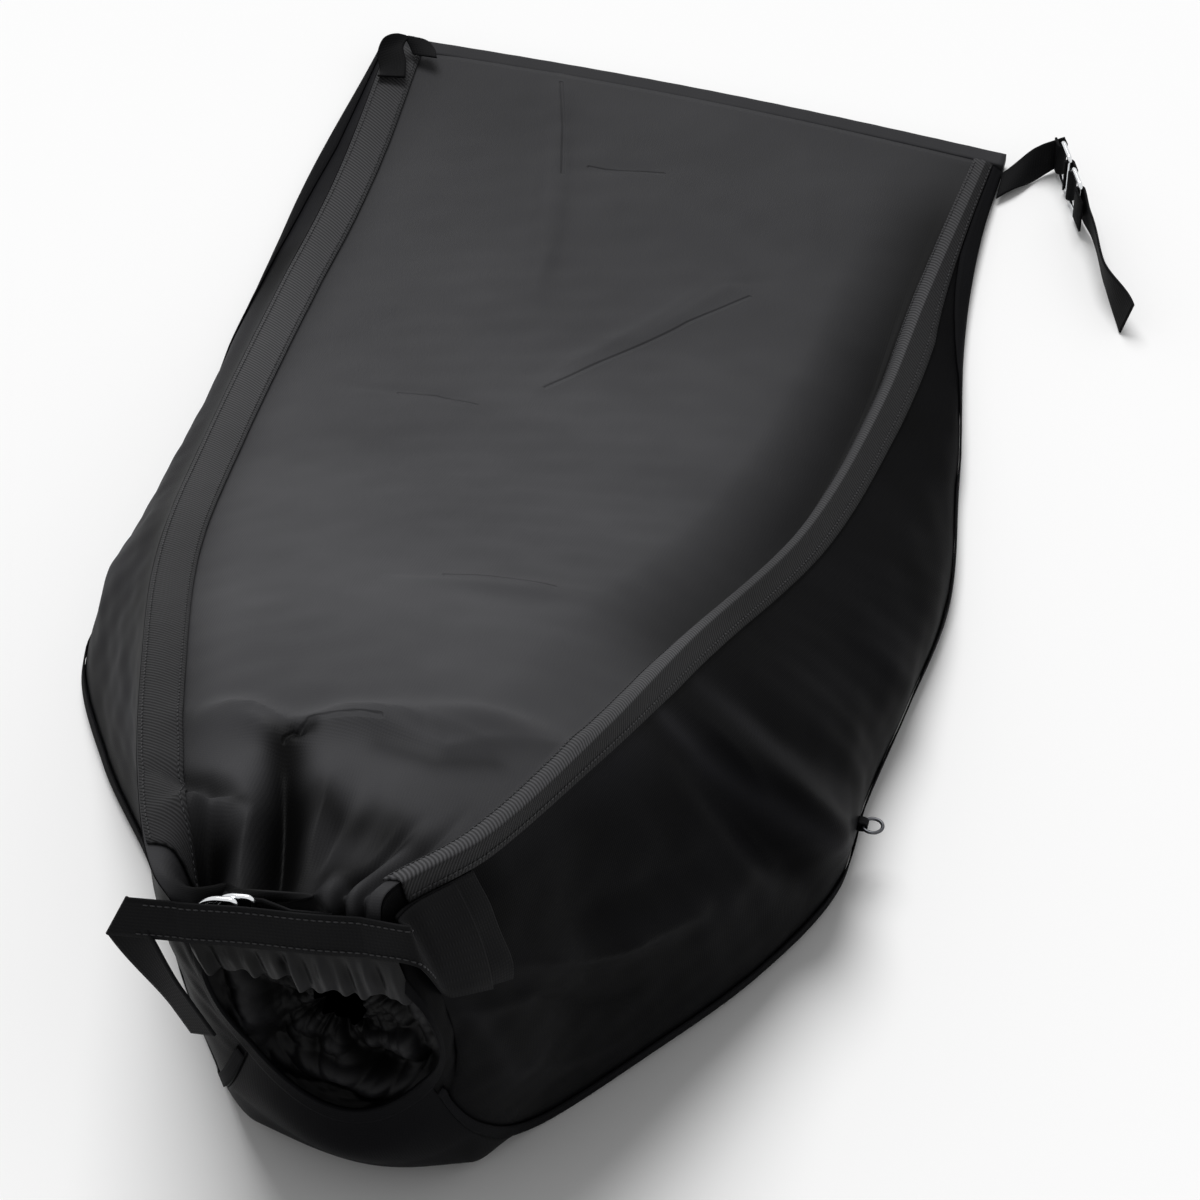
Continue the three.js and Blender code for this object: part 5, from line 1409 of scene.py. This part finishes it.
def woven(tree, shader, tone_low, tone_high, pitch, depth, blotch=0.11):
    """Weave from two crossed waves in the cloth's own UV millimetres, and slow tone changes,
    times the painted light and shade that the piece carries."""
    cloth = node(tree, "ShaderNodeUVMap", dict(uv_map="cloth"))
    place = node(tree, "ShaderNodeTexCoord")
    warp = node(tree, "ShaderNodeTexWave", dict(bands_direction="X"), Vector=cloth.outputs[0],
                Scale=1 / pitch / WAVES_PER_UNIT, Distortion=0.4)
    weft = node(tree, "ShaderNodeTexWave", dict(bands_direction="Y"), Vector=cloth.outputs[0],
                Scale=1 / pitch / WAVES_PER_UNIT, Distortion=0.4)
    threads = node(tree, "ShaderNodeMath", dict(operation="MULTIPLY"),
                   _0=warp.outputs["Fac"], _1=weft.outputs["Fac"])
    slow = node(tree, "ShaderNodeTexNoise", Vector=place.outputs["Object"], Scale=1 / blotch, Detail=3.0)
    tone_and_painted_light = node(tree, "ShaderNodeValToRGB", Fac=slow.outputs["Fac"])
    low, high = tone_and_painted_light.color_ramp.elements
    low.position, low.color = 0.3, linear(tone_low)
    high.position, high.color = 0.75, linear(tone_high)
    # The piece's painted light and shade scale the colour.
    painted_light_node = node(tree, "ShaderNodeAttribute", dict(attribute_name="tone_and_painted_light"))
    shaded = node(tree, "ShaderNodeVectorMath", dict(operation="SCALE"),
                  _0=tone_and_painted_light.outputs["Color"], Scale=painted_light_node.outputs["Fac"])
    tree.links.new(shaded.outputs[0], shader.inputs["Base Color"])
    bump = node(tree, "ShaderNodeBump", Height=threads.outputs[0], Distance=depth, Strength=1.0)
    tree.links.new(bump.outputs["Normal"], shader.inputs["Normal"])
    return bump


top_cloth, tree, shader = material("coated_polyester", Roughness=0.55, Specular_IOR_Level=0.06)
weave_bump = woven(tree, shader, "#38383a", "#404042", WEAVE, WEAVE_HEIGHT)

# %% [markdown]
# ## Sharp folds of the packet
# The bag was sold folded flat, and its sharpest folds are thinner than the sheet's own grid. They
# are drawn as narrow grooves in the finish: a dark and a light side to each.

# %% Sharp fold lines
FOLD_WIDTH, FOLD_DEPTH = 0.0022, 0.0012
FOLD_LINES = [
    [[0.645, 0.5], [0.7, 0.58], [0.76, 0.66], [0.805, 0.735]],
    [[0.611, 0.28], [0.613, 0.34], [0.608, 0.41]],
    [[0.99, 0.3], [0.94, 0.335], [0.89, 0.365]],
    [[0.906, 0.4], [0.908, 0.45], [0.914, 0.52]],
    [[0.36, 0.55], [0.372, 0.66], [0.375, 0.74]],
    [[0.146, 0.386], [0.157, 0.441], [0.165, 0.604]],
]
on_cloth = [
    [((v - 0.5) * float(top_spans(np.array([s]))[0]) / 1000, s * LENGTH / 1000) for s, v in path]
    for path in FOLD_LINES
]
lines = fold_lines(tree, on_cloth, FOLD_WIDTH)
fold_bump = node(tree, "ShaderNodeBump", dict(invert=True),
                 Height=lines, Distance=FOLD_DEPTH, Normal=weave_bump.outputs["Normal"])
tree.links.new(fold_bump.outputs["Normal"], shader.inputs["Normal"])
paint(top_cloth, "top_cloth_panel")
plain_top, tree, shader = material("coated_polyester_edge", Roughness=0.55, Specular_IOR_Level=0.06)
woven(tree, shader, "#2a2a2c", "#313133", WEAVE, WEAVE_HEIGHT)
paint(plain_top, "far_edge_binding")
print("top cloth woven at", WEAVE * 1000, "mm")

# %% Cloth of the sides and base
# The same cloth as the top, copied with its colour painted much darker for the shade on the sides
# and base, with its coat outside: it sinks into black where no light falls, and glances softly
# along its folds. The inner cloth of the mouth is a little glossier.
side_cloth_painted_shade, tree, shader = material("coated_polyester_side_painted_shade", Roughness=0.45, Specular_IOR_Level=0.012)
woven(tree, shader, "#0d0d0e", "#121214", WEAVE, WEAVE_HEIGHT)
paint(side_cloth_painted_shade, "left_gusset_cloth", "right_gusset_cloth", "base_cloth_panel", "mouth_hem_band")
inner_cloth, tree, shader = material("coated_polyester_inner", Roughness=0.5, Specular_IOR_Level=0.1)
woven(tree, shader, "#141416", "#1c1c1e", WEAVE, WEAVE_HEIGHT / 2)
paint(inner_cloth, "neck_skirt_cloth", "inner_sleeve_cloth")
print("sides share the weave")

# %% Ribbed seam tape
# Woven twill tape, heat-set after weaving: fine ribs at a slant, a little paler than the cloth.
# The ribs of such tape are 1 mm apart; they are drawn at 2.4 mm so that they show. The binding
# below is the same weave, narrow and black.
RIB = 0.0024
tape, tree, shader = material("ribbed_twill_tape", Roughness=0.66, Specular_IOR_Level=0.08)
cloth = node(tree, "ShaderNodeUVMap", dict(uv_map="cloth"))
turned = node(tree, "ShaderNodeMapping", Vector=cloth.outputs[0], Rotation=(0, 0, math.radians(35)))
ribs = node(tree, "ShaderNodeTexWave", dict(bands_direction="Y"),
            Vector=turned.outputs[0], Scale=1 / RIB / WAVES_PER_UNIT)
tone_and_painted_light = node(tree, "ShaderNodeValToRGB", Fac=ribs.outputs["Fac"])
tone_and_painted_light.color_ramp.elements[0].color = linear("#2a2a2b")
tone_and_painted_light.color_ramp.elements[1].color = linear("#4c4c4e")
# The tape's painted light and shade scale its colour.
painted_light_node = node(tree, "ShaderNodeAttribute", dict(attribute_name="tone_and_painted_light"))
shaded = node(tree, "ShaderNodeVectorMath", dict(operation="SCALE"),
              _0=tone_and_painted_light.outputs["Color"], Scale=painted_light_node.outputs["Fac"])
tree.links.new(shaded.outputs[0], shader.inputs["Base Color"])
bump = node(tree, "ShaderNodeBump", Height=ribs.outputs["Fac"], Distance=0.0003, Strength=1.0)
tree.links.new(bump.outputs["Normal"], shader.inputs["Normal"])
paint(tape, "left_ribbed_tape", "right_ribbed_tape")

binding, tree, shader = material("narrow_twill_binding", Roughness=0.66, Specular_IOR_Level=0.015)
woven(tree, shader, "#0e0e0f", "#141416", RIB, 0.0001)
paint(binding, "left_base_binding", "right_base_binding")
print("ribs", RIB * 1000, "mm apart")

# %% Webbing
# Polypropylene webbing woven flat on a needle loom: matt black, with ribs across its width.
webbing, tree, shader = material("polypropylene_webbing", Roughness=0.6, Specular_IOR_Level=0.03)
woven(tree, shader, "#101011", "#171718", pitch=0.0022, depth=0.00015, blotch=0.05)
paint(webbing, "strap_anchor", "neck_strap_webbing", "neck_tab_webbing", "corner_strap_webbing",
      "corner_loop_webbing", "corner_tail_webbing", "left_loop_webbing", "side_tab_webbing")
thread, tree, shader = material("polyester_thread", Roughness=0.5, Specular_IOR_Level=0.2)
shader.inputs["Base Color"].default_value = linear("#1d1d1f")
paint(thread, "left_tape_stitches", "right_tape_stitches", "strap_stitches")
print("webbing ribs 2.2 mm apart")

# %% Metal
# Bright nickel plating on drawn wire, tumbled smooth, and oil-blackened steel.
nickel, tree, shader = material("bright_nickel", Metallic=1.0, Roughness=0.16)
shader.inputs["Base Color"].default_value = linear("#d8dadc")
paint(nickel, "neck_ring_outer_wire", "neck_ring_inner_wire",
      "corner_ring_inner_wire", "corner_ring_outer_wire")
steel, tree, shader = material("blackened_steel", Metallic=1.0, Roughness=0.34)
shader.inputs["Base Color"].default_value = linear("#4a4b4e")
paint(steel, "side_ring_wire")
print("nickel and blackened steel, both metals")

# %% [markdown]
# ## Sheets
# Each cloth piece is one flat cutting, sewn along its edges; their areas are printed above. The
# loop below only looks up the gussets' points again.


for name in ("left", "right"):
    points = gusset_points[name]

# %% [markdown]
# ## Floor and light
# The product photograph has an even, bright surround. A nearly white floor keeps the object's
# shadow, and one wide soft lamp from behind on the left leaves the near side dark.

# %% Floor
FLOOR_HALF = 20000
corners = np.array([[-1, -1, 0], [1, -1, 0], [1, 1, 0], [-1, 1, 0]], float) * FLOOR_HALF
floor = new_piece("floor", corners, [[0, 1, 2, 3]])
floor_paint, tree, shader = material("pale_paper", Roughness=0.9, Specular_IOR_Level=0.0)
shader.inputs["Base Color"].default_value = (0.97, 0.97, 0.97, 1)
floor.data.materials.append(floor_paint)

# %% Light
sun_data = bpy.data.lights.new("window", "SUN")
sun_data.energy = 2.3
sun_data.angle = math.radians(35)
sun = bpy.data.objects.new("window", sun_data)
bpy.context.scene.collection.objects.link(sun)
sun.rotation_euler = (math.radians(-24), math.radians(-14), 0)

world = bpy.data.worlds.new("surround")
bpy.context.scene.world = world
world.use_nodes = True
tree = world.node_tree
tree.nodes.clear()
rays = node(tree, "ShaderNodeLightPath")
seen = node(tree, "ShaderNodeMath", dict(operation="MAXIMUM"),
            _0=rays.outputs["Is Camera Ray"], _1=rays.outputs["Is Glossy Ray"])
seen = node(tree, "ShaderNodeMath", dict(operation="MAXIMUM"),
            _0=seen.outputs[0], _1=rays.outputs["Is Transmission Ray"])
ROOM_STRENGTH = 0.36
room = node(tree, "ShaderNodeBackground", Color=(1, 1, 1, 1), Strength=ROOM_STRENGTH)
white = node(tree, "ShaderNodeBackground", Color=(1, 1, 1, 1), Strength=1.0)
both = node(tree, "ShaderNodeMixShader", _0=seen.outputs[0], _1=room.outputs[0], _2=white.outputs[0])
node(tree, "ShaderNodeOutputWorld", Surface=both.outputs[0])
bpy.context.scene.view_settings.view_transform = "Standard"
print(f"lamp {sun_data.energy:.1f}, surround {ROOM_STRENGTH}")
